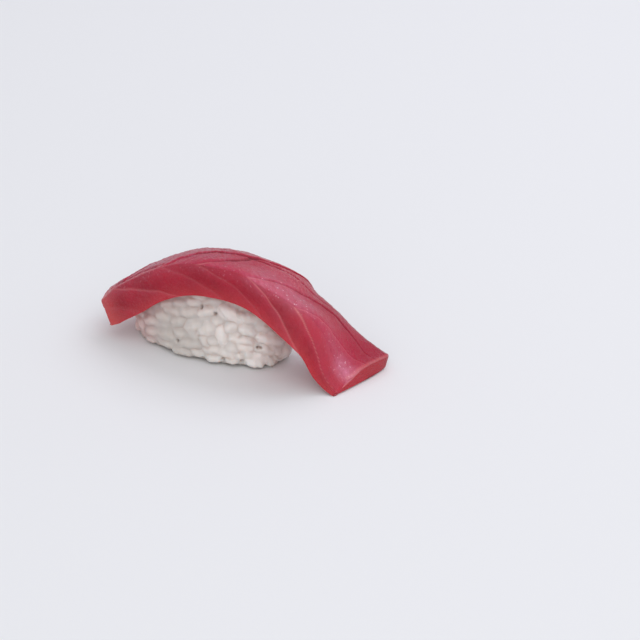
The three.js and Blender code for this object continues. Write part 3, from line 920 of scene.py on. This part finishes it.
# %% [markdown]
# ## Packing the others
# The grains round the far side are packed by themselves. Each is a short chain of balls
# that push their neighbours away, while the walls of the room push back, until the
# grains lie side by side as they do when rice is squeezed in the hand. A rigid body
# simulation would do the same, but this is faster and always ends alike.

# %% Pack the others
GRAIN_LENGTH, GRAIN_RADIUS = 6.0, 1.6
FREE_GRAINS = 100
CHAIN = np.array([-1, -1 / 3, 1 / 3, 1])  # where the balls of a chain sit, from tip to tip
ROUNDS = 46
CLOSENESS = 0.8  # two balls may come as near as this share of their radii
PUSH = 0.6
DEEPEST, OUTWARD_LIMIT = 1.8, 0.5  # a ball that is deeper inside moves out, this far in a round
TABLE_SHARE = 0.92  # a ball stays this share of its radius above the table
rng = np.random.default_rng(11)


def free_grains():
    """The same for the grains round the far side, before they are packed."""
    turn = rng.uniform(-2, 194, FREE_GRAINS)
    height = rng.uniform(1.2, 18.0, FREE_GRAINS)
    centre = ball_wall(turn, height, rng.uniform(1.4, 2.6, FREE_GRAINS))
    out = wall_room(centre)[1]
    tilt = rng.normal(0, 0.9, FREE_GRAINS)[:, None]
    axis = np.cross(UP, out) * np.cos(tilt) + UP * np.sin(tilt) + 0.25 * rng.normal(size=(FREE_GRAINS, 3))
    size = rng.uniform(0.8, 1.2, FREE_GRAINS)
    proud = rng.uniform(0.35, 0.9, FREE_GRAINS)
    axis /= np.linalg.norm(axis, axis=1, keepdims=True)
    return centre, axis, GRAIN_LENGTH * size, GRAIN_RADIUS * size ** 0.5, proud


def push_apart(balls, radius):
    """How far each ball of each chain is pushed by the balls of the other chains."""
    flat = balls.reshape(-1, 3)
    owner = np.repeat(np.arange(len(balls)), balls.shape[1])
    step = flat[:, None, :] - flat[None, :, :]
    apart = np.sqrt((step ** 2).sum(-1)) + SLIGHT
    wanted = CLOSENESS * (radius[owner][:, None] + radius[owner][None, :])
    overlap = np.clip(wanted - apart, 0, None) * (owner[:, None] != owner[None, :])
    return (step * (0.5 * overlap / apart)[..., None]).sum(1).reshape(balls.shape)


def pack(centre, axis, length, radius, proud):
    """Moves the grains that weren't listed until they lie side by side."""
    free = np.arange(len(centre)) >= len(LAID_GRAINS)
    offsets = CHAIN[None, :, None] * (length / 2 - radius)[:, None, None]
    for _ in range(ROUNDS):
        balls = centre[:, None, :] + offsets * axis[:, None, :]
        moved = balls + PUSH * push_apart(balls, radius)
        room, out = wall_room(moved)
        moved += out * np.minimum(room - (radius - proud)[:, None], 0)[..., None]
        moved += out * np.clip(room - DEEPEST, 0, OUTWARD_LIMIT)[..., None]
        room, up = fish_room(moved)
        moved += up * np.minimum(room - radius[:, None], 0)[..., None]
        moved[..., 2] = np.maximum(moved[..., 2], TABLE_SHARE * radius[:, None])
        new_centre, new_axis = moved.mean(1), moved[:, 3] - moved[:, 0]
        out = wall_room(new_centre)[1]
        new_axis -= 0.5 * (new_axis * out).sum(1, keepdims=True) * out
        new_axis /= np.linalg.norm(new_axis, axis=1, keepdims=True)
        centre = np.where(free[:, None], new_centre, centre)
        axis = np.where(free[:, None], new_axis, axis)
    return centre, axis


everything = [np.concatenate(pair) for pair in zip(laid, free_grains())]
grain_length, grain_radius, grain_proud = everything[2:]
grain_centre, grain_axis = pack(*everything)
GRAINS = len(grain_centre)
print("packed", GRAINS, "grains, highest", grain_centre[:, 2].max().round(2))

# %% [markdown]
# ## From chains to grains
# A cooked short grain is plump, a little flatter one way, blunt at one end, and often
# slightly bent. All grains follow the same few formulas, but each has its own girth and
# bend, and they become one mesh together with a plain core that fills the middle.

# %% Make the grains and the core
GRAIN_SIDES, GRAIN_BANDS = 16, 12
STEEP = 0.8  # from here on an axis is nearly upright
ALONG = np.array([1.0, 0.0, 0.0])
CORE_SIDES, CORE_LEVELS = 72, 22
CORE_INSET, CORE_FOOT_INSET = 0.4, 1.1
CORE_FOOT, CORE_LOWER = 0.5, 3.0  # how high it starts, and how much shorter it is than the ball
CORE_BELOW_FISH, CORE_ROUNDS = 0.45, 6


def grain_mesh(centre, axis, length, radius):
    """The points of one grain: rings along its axis, and its two tips."""
    t = -np.cos(np.linspace(0, np.pi, GRAIN_BANDS + 1))
    angle = np.linspace(0, 2 * np.pi, GRAIN_SIDES, endpoint=False)
    half = length / 2
    width = radius * rng.uniform(0.95, 1.1)
    flat = radius * rng.uniform(0.85, 1.0)
    girth = np.clip(1 - np.abs(t) ** 2.2, 0, 1) ** 0.55 * (1 - rng.uniform(0.0, 0.22) * t)
    helper = UP if abs(axis[2]) < STEEP else ALONG
    u = np.cross(axis, helper)
    u /= np.linalg.norm(u)
    v = np.cross(axis, u)
    roll = rng.uniform(0, np.pi)
    u, v = u * np.cos(roll) + v * np.sin(roll), v * np.cos(roll) - u * np.sin(roll)
    bend = rng.uniform(0, 0.6) * (t ** 2 - 0.33)
    rings = (
        centre
        + half * t[:, None, None] * axis
        + bend[:, None, None] * u
        + (girth[:, None] * np.cos(angle) * width)[..., None] * u
        + (girth[:, None] * np.sin(angle) * flat)[..., None] * v
    )
    rings = rings[1:-1].reshape(-1, 3)
    tips = np.array([centre - half * axis, centre + half * axis])
    return np.concatenate([rings, tips])


def tube_faces(rings, sides):
    """Faces of a closed tube: its rings come first, then the point at its foot and at its tip."""
    faces = []
    for ring in range(rings - 1):
        for k in range(sides):
            a, b = ring * sides + k, ring * sides + (k + 1) % sides
            faces.append((a, b, b + sides, a + sides))
    foot, tip = rings * sides, rings * sides + 1
    last = (rings - 1) * sides
    for k in range(sides):
        n = (k + 1) % sides
        faces.append((foot, n, k))
        faces.append((tip, last + k, last + n))
    return faces


def core_points():
    """A plain filling, a little inside the grains, following the fish above."""
    turns = np.linspace(0, 360, CORE_SIDES, endpoint=False)
    heights = CORE_FOOT + (RICE_HEIGHT - CORE_LOWER) * np.linspace(0, 1, CORE_LEVELS)
    rings = []
    for height in heights:
        inset = CORE_INSET + CORE_FOOT_INSET * (1 - ease(0.6, 2.4, height))
        rings.append(ball_wall(turns, height, inset))
    points = np.concatenate(rings)
    for _ in range(CORE_ROUNDS):
        room, up = fish_room(points)
        points += up * np.minimum(room - CORE_BELOW_FISH, 0)[:, None]
    return np.concatenate([points, [[0, 0, CORE_FOOT]], [points[-CORE_SIDES:].mean(0)]])


def heap_mesh():
    """All grains and the core in one mesh, each still a closed body of its own."""
    bodies = []
    template = tube_faces(GRAIN_BANDS - 1, GRAIN_SIDES)
    for grain in zip(grain_centre, grain_axis, grain_length, grain_radius):
        bodies.append((grain_mesh(*grain), template))
    bodies.append((core_points(), tube_faces(CORE_LEVELS, CORE_SIDES)))
    all_faces = []
    start = 0
    for points, faces in bodies:
        all_faces += [tuple(start + i for i in face) for face in faces]
        start += len(points)
    return np.concatenate([points for points, _ in bodies]), all_faces


points, faces = heap_mesh()
heap_data = bpy.data.meshes.new("rice_heap")
heap_data.from_pydata(points.tolist(), [], faces)
heap = bpy.data.objects.new("rice_heap", heap_data)
bpy.context.collection.objects.link(heap)
print("heap of grains", len(points), "points, z from", points[:, 2].min().round(2))

# %% [markdown]
# ## Fusing the rice
# Sticky rice has no air between its outer grains, and light passes from grain to grain.
# A voxel remesh joins all the closed grains into one skin, which the light can then
# travel through as it does in the real ball. Smoothing takes away the voxels' steps.

# %% Fuse the rice into one skin
VOXEL = 0.25
SETTLE_ROUNDS = 15
fuse = heap.modifiers.new("fuse", "REMESH")
fuse.mode = "VOXEL"
fuse.voxel_size = VOXEL
fuse.adaptivity = 0.0
settle = heap.modifiers.new("settle", "SMOOTH")
settle.factor = 0.5
settle.iterations = SETTLE_ROUNDS
graph = bpy.context.evaluated_depsgraph_get()
skin_data = bpy.data.meshes.new_from_object(heap.evaluated_get(graph))
bpy.data.objects.remove(heap)
skin = np.empty(len(skin_data.vertices) * 3)
skin_data.vertices.foreach_get("co", skin)
skin = skin.reshape(-1, 3)
print("rice skin", len(skin), "points,", len(skin_data.polygons), "faces")

# %% [markdown]
# ## Creases, pits and the gap below the fish
# The fused skin is too smooth: between real grains there are fine creases, and small
# dark holes where three grains don't quite meet. So each point finds its own grain and
# the next, and is pushed in where the two are equally near. Then the skin is kept a
# little below the fish, or the two would cut into each other.

# %% Which grain each point of the skin belongs to
TIP_SHARE = 0.9  # a grain's axis stops short of its tips by this share of its radius
BLOCK = 4000  # points at a time, which keeps the tables small
CREASE_WIDTH, CREASE_DEPTH = 0.3, 0.11
PIT_RADIUS, PIT_REACH, PIT_DEPTH = 0.40, 2.5, 0.9
LUMP_HEIGHT = 0.12
FISH_GAP, SKIN_ROUNDS = 0.35, 4
PITS = [  # turn (degrees) and height
    (-81, 16.4), (-70, 15.2), (-100, 4.9), (-65, 2.3), (-80, 1.6), (-51, 2.4), (-38, 6.9), (-36, 6.9),
]


def grain_gaps(points):
    """For each point: its own grain, how much nearer that is than the next, and how far out."""
    own = np.empty(len(points), int)
    gap, beyond = np.empty(len(points)), np.empty(len(points))
    half = grain_length / 2 - grain_radius * TIP_SHARE
    for start in range(0, len(points), BLOCK):
        block = slice(start, start + BLOCK)
        step = points[block, None, :] - grain_centre[None]
        along = np.clip((step * grain_axis[None]).sum(-1), -half, half)
        away = np.linalg.norm(step - along[..., None] * grain_axis[None], axis=-1) - grain_radius
        own[block] = away.argmin(1)
        nearest = np.partition(away, 1, axis=1)[:, :2]
        gap[block], beyond[block] = nearest[:, 1] - nearest[:, 0], nearest[:, 0]
    return own, gap, beyond


def pit_mark(points):
    """1 in the small dark holes where grains don't quite meet, and 0 away from them."""
    mark = np.zeros(len(points))
    for turn, height in PITS:
        wall = ball_wall(turn, height)
        out = wall_room(wall)[1]
        step = points - wall
        depth = step @ out
        aside = np.linalg.norm(step - depth[:, None] * out, axis=1)
        mark = np.maximum(mark, np.exp(-((aside / PIT_RADIUS) ** 2)) * (np.abs(depth) < PIT_REACH))
    return mark


own_grain, gap, beyond = grain_gaps(skin)
normals = np.empty(len(skin) * 3)
skin_data.vertices.foreach_get("normal", normals)
normals = normals.reshape(-1, 3)
x, y, z = skin.T
shows = ease(-0.5, 0.7, wander(0.9 * x, 0.8 * y + 1.1 * z, 8.0))
crease = np.exp(-((gap / CREASE_WIDTH) ** 2)) * shows * (1 - ease(0.1, 0.9, beyond))
pits = pit_mark(skin)
lumps = LUMP_HEIGHT * wander(1.9 * x + 1.3 * z, 2.1 * y - 1.7 * z, 5.0)
skin = skin + normals * (lumps - CREASE_DEPTH * crease - PIT_DEPTH * pits)[:, None]
for _ in range(SKIN_ROUNDS):
    room, up = fish_room(skin)
    skin = skin + up * np.minimum(room - FISH_GAP, 0)[:, None]
skin = onto_table(skin)
skin_data.vertices.foreach_set("co", to_metres(skin).ravel())
skin_data.update()
rice = bpy.data.objects.new("rice_grains", skin_data)
bpy.context.collection.objects.link(rice)
skin_data.shade_smooth()
print("creases on", (crease > 0.5).mean().round(3), "of the skin, pits on", (pits > 0.5).mean().round(4))

# %% [markdown]
# ## Marks for the rice's colours
# Each grain gets a tone of its own, partly at random, and is painted paler the further it
# stands out, as painted light, because it catches more light. The left of the ball and the
# filling are painted darker, as painted shade. Other marks say where the skin is in a
# crease or a pit, which get painted shade, where it is close to the fish, which gets a
# painted pink glow of light reflected from the fish, and where it is close to the table,
# which gets a painted brown contact shadow.

# %% Marks for the rice's finish
TONE_START, PROUD_LIGHT, TONE_SPREAD = 0.3, 0.7, 0.15
LEFT_SHADE, FILLING_SHADE = 0.15, 0.25  # the left of the ball and the filling are darker
GLOW_REACH = 2.4
# painted light and shade: a grain is painted paler the further it stands proud, and darker on the left of
# the ball, besides a random tone of its own
tone = TONE_START + PROUD_LIGHT * grain_proud + rng.uniform(-TONE_SPREAD, TONE_SPREAD, GRAINS)
tone = np.clip(tone, 0, 1) * blend(LEFT_SHADE, 1.0, ease(-6, 12, grain_centre[:, 0]))
# painted shade: the filling between the grains is painted darker
skin_tone_and_shade = blend(tone[own_grain], FILLING_SHADE, ease(0.1, 0.9, beyond))
# the crease and pit marks carry painted shade for the finish
mark_points(skin_data, "crease", crease)
mark_points(skin_data, "grain_tone_and_shade", skin_tone_and_shade)
mark_points(skin_data, "pit", pits)
# painted light: a pink glow near the fish and at both ends of the ball, for light reflected from the fish
under_fish = np.exp(-np.clip(fish_room(skin)[0], 0, None) / GLOW_REACH)
left_end = 0.8 * ease(-7, -19, skin[:, 0])
right_end = 0.1 * ease(15, 22, skin[:, 0]) * ease(1, 6, skin[:, 2])
mark_points(skin_data, "pink", np.maximum.reduce([0.85 * under_fish, left_end, right_end]))
# painted shadow: the skin is painted brown near the table, as contact shade at the foot
mark_points(skin_data, "foot", 1 - ease(0.2, 1.7, skin[:, 2]))
print("tones", skin_tone_and_shade.min().round(2), "to", skin_tone_and_shade.max().round(2))

# %% [markdown]
# ## A helper for materials
# A material is a net of nodes. Writing out each node and its links takes many lines that
# look alike, so one class makes the nodes that are needed here, and the finishes below
# read almost like recipes.

# %% Node helpers
MIX_AMOUNT, MIX_FIRST, MIX_SECOND, MIX_RESULT = 0, 6, 7, 2  # a Mix node's sockets for colours


class Finish:
    """A material under construction."""

    def __init__(self, name):
        """Starts with a shader and an output, joined."""
        self.material = bpy.data.materials.new(name)
        self.material.use_nodes = True
        self.nodes = self.material.node_tree.nodes
        self.links = self.material.node_tree.links
        self.nodes.clear()
        self.shader = self.add("ShaderNodeBsdfPrincipled")
        output = self.add("ShaderNodeOutputMaterial")
        self.join(self.shader.outputs["BSDF"], output.inputs["Surface"])

    def add(self, kind, **settings):
        """A new node with some of its settings."""
        node = self.nodes.new(kind)
        for key, value in settings.items():
            setattr(node, key, value)
        return node

    def join(self, source, target):
        """Links an output to an input."""
        self.links.new(source, target)

    def give(self, socket, value):
        """Gives an input a number, a colour or another node's output."""
        if isinstance(value, (int, float)):
            socket.default_value = value
        elif isinstance(value, tuple):
            socket.default_value = (*value, 1.0)
        else:
            self.join(value, socket)

    def mark(self, name):
        """A mark that is stored on the points."""
        return self.add("ShaderNodeAttribute", attribute_name=name).outputs["Fac"]

    def math(self, operation, *values, clamp=False):
        """One operation on one, two or three numbers."""
        node = self.add("ShaderNodeMath", operation=operation, use_clamp=clamp)
        for socket, value in zip(node.inputs, values):
            self.give(socket, value)
        return node.outputs[0]

    def vector(self, *values):
        """Three numbers as one place."""
        node = self.add("ShaderNodeCombineXYZ")
        for socket, value in zip(node.inputs, values):
            self.join(value, socket)
        return node.outputs[0]

    def noise(self, vector, scale, detail, roughness, stretch=None):
        """Cloudy noise; stretch squeezes it by its own factor each way."""
        if stretch:
            mapping = self.add("ShaderNodeMapping")
            mapping.inputs["Scale"].default_value = stretch
            self.join(vector, mapping.inputs["Vector"])
            vector = mapping.outputs["Vector"]
        node = self.add("ShaderNodeTexNoise")
        node.inputs["Scale"].default_value = scale
        node.inputs["Detail"].default_value = detail
        node.inputs["Roughness"].default_value = roughness
        self.join(vector, node.inputs["Vector"])
        return node.outputs["Fac"]

    def ramp(self, value, low, low_colour, high, high_colour):
        """One colour up to low, another from high on, and a mix between."""
        node = self.add("ShaderNodeValToRGB")
        stops = ((low, low_colour), (high, high_colour))
        for element, (position, colour) in zip(node.color_ramp.elements, stops):
            element.position = position
            element.color = (*colour, 1.0)
        self.join(value, node.inputs["Fac"])
        return node.outputs["Color"]

    def step(self, value, low, high, start=0.0, end=1.0):
        """The same with numbers: start up to low, and end from high on."""
        return self.ramp(value, low, (start,) * 3, high, (end,) * 3)

    def mix(self, amount, first, second):
        """The first colour where the amount is 0, the second where it is 1."""
        node = self.add("ShaderNodeMix", data_type="RGBA")
        self.give(node.inputs[MIX_AMOUNT], amount)
        self.give(node.inputs[MIX_FIRST], first)
        self.give(node.inputs[MIX_SECOND], second)
        return node.outputs[MIX_RESULT]

    def washes(self, colour, rows):
        """Thin washes over a colour: each row has an amount, its share and the wash's colour."""
        for amount, share, wash in rows:
            colour = self.mix(self.math("MULTIPLY", amount, share), colour, wash)
        return colour

    def bump(self, height, distance, strength, normal=None):
        """Small unevenness that only the light sees, over an earlier one if there is any."""
        node = self.add("ShaderNodeBump")
        node.inputs["Strength"].default_value = strength
        node.inputs["Distance"].default_value = distance
        self.join(height, node.inputs["Height"])
        if normal is not None:
            self.join(normal, node.inputs["Normal"])
        return node.outputs["Normal"]

    def same_all_over(self, settings):
        """Sets the shader's inputs that don't change from place to place."""
        for name, value in settings.items():
            self.shader.inputs[name].default_value = value


print("a finish can use", [name for name in vars(Finish) if not name.startswith("_")])

# %% [markdown]
# ## Finish of the fish
# Raw tuna is deep rose red, moist and slightly see-through, so light enters, scatters and
# comes out redder. The pale seams and the faint fibres across each flake come from marks
# stored on the slab's points, which keeps them tied to the relief. The colours lie over
# the meat like thin washes of paint, each as strong as its mark and its noise say.

# %% Raw tuna
def raw_tuna():
    """The material of the fish."""
    finish = Finish("raw_tuna")
    coordinate = finish.add("ShaderNodeTexCoord").outputs["Object"]
    fibres = finish.vector(finish.mark("fibre_a"), finish.mark("fibre_b"), finish.mark("level"))
    cloud = finish.noise(coordinate, 110.0, 3.0, 0.55)
    meat = finish.ramp(cloud, 0.32, (0.265, 0.003, 0.015), 0.68, (0.395, 0.006, 0.026))

    strand = finish.noise(fibres, 1.0, 4.0, 0.6, stretch=(1.7, 0.22, 1.0))
    thread = finish.noise(fibres, 1.0, 3.0, 0.6, stretch=(4.5, 0.55, 4.0))
    fleck = finish.step(finish.noise(coordinate, 1500.0, 3.0, 0.6), 0.42, 0.66)
    uneven = finish.noise(fibres, 1.0, 3.0, 0.6, stretch=(0.9, 0.5, 1.0))
    # painted sheen: a paler lilac tint in the band where light from behind glances off the top
    painted_sheen = finish.math("MULTIPLY", finish.mark("sheen"), finish.step(uneven, 0.35, 0.65, start=0.5))
    # painted glints: tiny pale specks in the same band, standing for wet highlights
    painted_glint = finish.step(finish.noise(coordinate, 1300.0, 1.0, 0.5), 0.66, 0.71)
    painted_glint = finish.math("MULTIPLY", painted_glint, finish.mark("sheen"), clamp=True)
    mostly_on_top = finish.math("MULTIPLY_ADD", finish.mark("on_top"), 0.8, 0.2)
    thin_line = finish.math("MULTIPLY", finish.step(thread, 0.56, 0.72), mostly_on_top)
    # painted lilac glints: fibre streaks in patches, where the shimmer mark is, mostly on the left top
    cut_fibre = finish.step(finish.noise(fibres, 1.0, 3.0, 0.6, stretch=(3.2, 0.9, 2.0)), 0.43, 0.62)
    patches = finish.step(finish.noise(coordinate, 260.0, 2.0, 0.5), 0.32, 0.68, start=0.3)
    painted_lilac_glint = finish.math("MULTIPLY", cut_fibre, patches)
    painted_lilac_glint = finish.math("MULTIPLY", painted_lilac_glint, finish.mark("shimmer"))
    curl = finish.noise(fibres, 1.0, 1.5, 0.5, stretch=(1.3, 0.5, 0.9))
    curl = finish.math("ABSOLUTE", finish.math("SUBTRACT", curl, 0.5))
    curl = finish.step(curl, 0.0, 0.035, start=1.0, end=0.0)
    fat_line = finish.math("MULTIPLY", curl, finish.mark("marbled"))

    meat = finish.washes(meat, [
        (strand, 0.26, (0.50, 0.018, 0.046)),
        (fleck, 0.10, (0.62, 0.080, 0.115)),
        # painted light: the top is painted paler and more lilac than the sides
        (finish.mark("on_top"), 0.45, (0.52, 0.019, 0.068)),
        # painted light beside each seam
        (finish.mark("flake"), 0.36, (0.65, 0.085, 0.140)),
        # painted shade beside each seam
        (finish.mark("painted_flake_shade"), 0.45, (0.25, 0.003, 0.016)),
        # painted glow of light through the thin edges
        (finish.mark("thin_edge_painted_glow"), 0.32, (0.60, 0.070, 0.072)),
        # painted light on the last flake
        (finish.mark("last_flake_painted_light"), 0.45, (0.60, 0.060, 0.105)),
        # painted light at the left tip
        (finish.mark("left_tip_painted_glow"), 0.45, (0.66, 0.130, 0.115)),
        # painted sheen
        (painted_sheen, 0.45, (0.70, 0.20, 0.32)),
        # painted glints
        (painted_glint, 0.60, (0.86, 0.52, 0.60)),
        # painted shade on the far part of the top
        (finish.mark("far_top_painted_shade"), 0.60, (0.33, 0.005, 0.028)),
        # painted shade on the far rim
        (finish.mark("far_rim_painted_shade"), 0.35, (0.24, 0.006, 0.034)),
        (thin_line, 0.28, (0.68, 0.12, 0.16)),
        (finish.mark("shimmer"), 0.28, (0.31, 0.010, 0.042)),
        # painted lilac glints
        (painted_lilac_glint, 0.42, (0.64, 0.16, 0.27)),
        # painted shade in the grooves and the valley
        (finish.mark("groove"), 0.8, (0.17, 0.003, 0.014)),
        (fat_line, 0.55, (0.82, 0.34, 0.38)),
        # the real pale seams, together with the painted highlights on the edges and the facet's crease
        (finish.mark("seam"), 0.6, (0.72, 0.24, 0.25)),
    ])
    shader = finish.shader
    finish.join(meat, shader.inputs["Base Color"])
    finish.same_all_over({
        "Subsurface Weight": 0.35,
        "Subsurface Radius": (1.0, 0.22, 0.16),
        "Subsurface Scale": 0.0025,
        "IOR": 1.35,
        "Specular IOR Level": 0.38,
        "Coat Roughness": 0.18,
    })
    wet_look = finish.math("MAXIMUM", finish.mark("sheen"), finish.mark("shimmer"))
    finish.join(finish.math("MULTIPLY_ADD", wet_look, 0.4, 0.08), shader.inputs["Coat Weight"])
    rough = finish.noise(coordinate, 900.0, 2.0, 0.5)
    finish.join(finish.math("MULTIPLY_ADD", rough, 0.3, 0.20), shader.inputs["Roughness"])
    ripple = finish.noise(fibres, 1.0, 3.0, 0.55, stretch=(1.1, 0.5, 1.5))
    fine = finish.noise(coordinate, 1600.0, 3.0, 0.6)
    normal = finish.bump(ripple, 0.0008, 0.5)
    normal = finish.bump(thread, 0.0004, 0.6, normal)
    normal = finish.bump(fine, 0.00010, 0.5, normal)
    finish.join(normal, shader.inputs["Normal"])
    finish.join(normal, shader.inputs["Coat Normal"])
    return finish.material


slab.data.materials.append(raw_tuna())
print("fish finish has", len(slab.active_material.node_tree.nodes), "nodes")

# %% [markdown]
# ## Finish of the rice
# Cooked rice is milky: light goes a little way into each grain, so shadows between the
# grains stay soft and warm. Each grain gets its own tone, partly painted light, and the
# creases, pits and foot get painted shade, and the part near the fish a painted pink glow.

# %% Cooked rice
def cooked_rice():
    """The material of the rice."""
    finish = Finish("cooked_rice")
    coordinate = finish.add("ShaderNodeTexCoord").outputs["Object"]
    grain = finish.ramp(finish.mark("grain_tone_and_shade"), 0.0, (0.50, 0.455, 0.42), 1.0, (0.82, 0.765, 0.73))
    grain = finish.washes(grain, [
        (finish.noise(coordinate, 350.0, 2.0, 0.5), 0.25, (0.72, 0.68, 0.63)),
        # painted shade in the creases
        (finish.mark("crease"), 0.36, (0.50, 0.35, 0.29)),
        # painted pink glow of light from the fish
        (finish.mark("pink"), 0.6, (0.66, 0.38, 0.38)),
        # painted contact shadow at the foot
        (finish.mark("foot"), 0.7, (0.42, 0.31, 0.22)),
        # painted shade in the pits
        (finish.mark("pit"), 0.75, (0.26, 0.16, 0.12)),
    ])
    finish.join(grain, finish.shader.inputs["Base Color"])
    finish.same_all_over({
        "Subsurface Weight": 1.0,
        "Subsurface Radius": (1.0, 0.82, 0.72),
        "Subsurface Scale": 0.004,
        "Roughness": 0.38,
        "IOR": 1.38,
        "Coat Weight": 0.3,
        "Coat Roughness": 0.15,
    })
    dimple = finish.noise(coordinate, 800.0, 3.0, 0.6)
    finish.join(finish.bump(dimple, 0.00025, 0.6), finish.shader.inputs["Normal"])
    return finish.material


rice.data.materials.append(cooked_rice())
print("rice finish has", len(rice.active_material.node_tree.nodes), "nodes")

# %% [markdown]
# ## Tying the pieces to the measured model
# Each piece hides the solid of the measured model that it stands in for. Both ride on
# one body, because food has no joints.

# %% Tie both pieces to the part
for piece, node, finish_slot in ((slab, "tuna_slice", "tuna"), (rice, "rice", "rice")):
    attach(piece, "root")
    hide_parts(node)
    print(piece.name, "stands in for", node)

# %% [markdown]
# ## Table
# A plain pale table catches the shadows, which show how the sushi stands. It belongs to
# the stage and isn't a piece of the sushi.

# %% Table
TABLE_HALF = 4
corners = [(-1, -1, 0), (1, -1, 0), (1, 1, 0), (-1, 1, 0)]
table_mesh = bpy.data.meshes.new("table")
table_mesh.from_pydata([Vector(corner) * TABLE_HALF for corner in corners], [], [(0, 1, 2, 3)])
table = bpy.data.objects.new("table", table_mesh)
bpy.context.collection.objects.link(table)
top = Finish("pale_table")
top.same_all_over({
    "Base Color": (0.84, 0.845, 0.86, 1),
    "Roughness": 0.75,
    "Specular IOR Level": 0.2,
})
table.data.materials.append(top.material)
print("table", 2 * TABLE_HALF, "m wide")

# %% [markdown]
# ## Light
# Soft studio light. A large lamp in front gives the shadows, and one from behind glances
# off the wet top and leaves the near face in gentle shade. A weak low lamp and another on
# the right brighten the dark sides a little, as pale walls do in a real studio, and the
# world adds an even light from everywhere.

# %% Light
WHITE = (1.0, 1.0, 1.0)
LAMPS = [  # name, azimuth, elevation (degrees), distance, size, light on the table, colour
    ("front_softbox", 38, 40, 2.0, (1.8, 1.8), 0.64, WHITE),
    ("low_fill", 24, 15, 1.6, (1.2, 0.7), 0.11, WHITE),
    ("back_softbox", 170, 54, 1.2, (1.25, 0.7), 0.84, (0.92, 0.91, 1.0)),
    ("right_softbox", 100, 40, 1.6, (1.2, 1.2), 0.17, WHITE),
]

world = bpy.data.worlds.new("studio")
bpy.context.scene.world = world
world.use_nodes = True
sky = world.node_tree.nodes["Background"]
sky.inputs["Color"].default_value = (0.955, 0.965, 1.0, 1)
sky.inputs["Strength"].default_value = 0.55


def from_angles(azimuth, elevation):
    """Direction that leads from the sushi to an azimuth and an elevation in radians."""
    flat = math.cos(elevation)
    return Vector((math.sin(azimuth) * flat, -math.cos(azimuth) * flat, math.sin(elevation)))


def softbox(name, azimuth, elevation, distance, size, floor_light, colour):
    """A rectangular lamp aimed at the sushi; floor_light is how much it adds to the table's light."""
    azimuth, elevation = math.radians(azimuth), math.radians(elevation)
    direction = from_angles(azimuth, elevation)
    data = bpy.data.lights.new(name, "AREA")
    data.shape = "RECTANGLE"
    data.size, data.size_y = size
    data.energy = math.pi * floor_light * distance ** 2 / math.sin(elevation)
    data.color = colour
    lamp = bpy.data.objects.new(name, data)
    bpy.context.collection.objects.link(lamp)
    lamp.location = direction * distance
    lamp.rotation_euler = (-direction).to_track_quat("-Z", "Y").to_euler()
    print(name, round(data.energy, 1), "W")


for lamp in LAMPS:
    softbox(*lamp)

# %% [markdown]
# ## Camera
# The camera looks down a little from the front right through a long lens, which keeps
# the sushi's proportions. It is shifted, not turned, until the middle of the rice's
# foot lies at its place in the picture.

# %% Camera
AZIMUTH, ELEVATION = math.radians(32.0), math.radians(25.0)
DISTANCE, PIXELS_PER_METRE, FRAME = 0.72, 3620.0, 640
SENSOR = 36.0
FOOT_ACROSS, FOOT_DOWN = 214.5, 344.7  # pixels from the picture's top left corner

back = from_angles(AZIMUTH, ELEVATION)
right = Vector((math.cos(AZIMUTH), math.sin(AZIMUTH), 0))
up = back.cross(right)
across = (FOOT_ACROSS - FRAME / 2) / PIXELS_PER_METRE
above = (FRAME / 2 - FOOT_DOWN) / PIXELS_PER_METRE
eye = Vector(RICE_FOOT_MIDDLE * MM) + back * DISTANCE - right * across - up * above
camera_data = bpy.data.cameras.new("camera")
camera_data.sensor_width = SENSOR
camera_data.lens = SENSOR * PIXELS_PER_METRE * DISTANCE / FRAME
camera = bpy.data.objects.new("camera", camera_data)
bpy.context.collection.objects.link(camera)
camera.matrix_world = Matrix.Translation(eye) @ Matrix((right, up, back)).transposed().to_4x4()
bpy.context.scene.camera = camera
bpy.context.scene.view_settings.view_transform = "Standard"
print("camera lens", round(camera_data.lens, 1))

# %% [markdown]
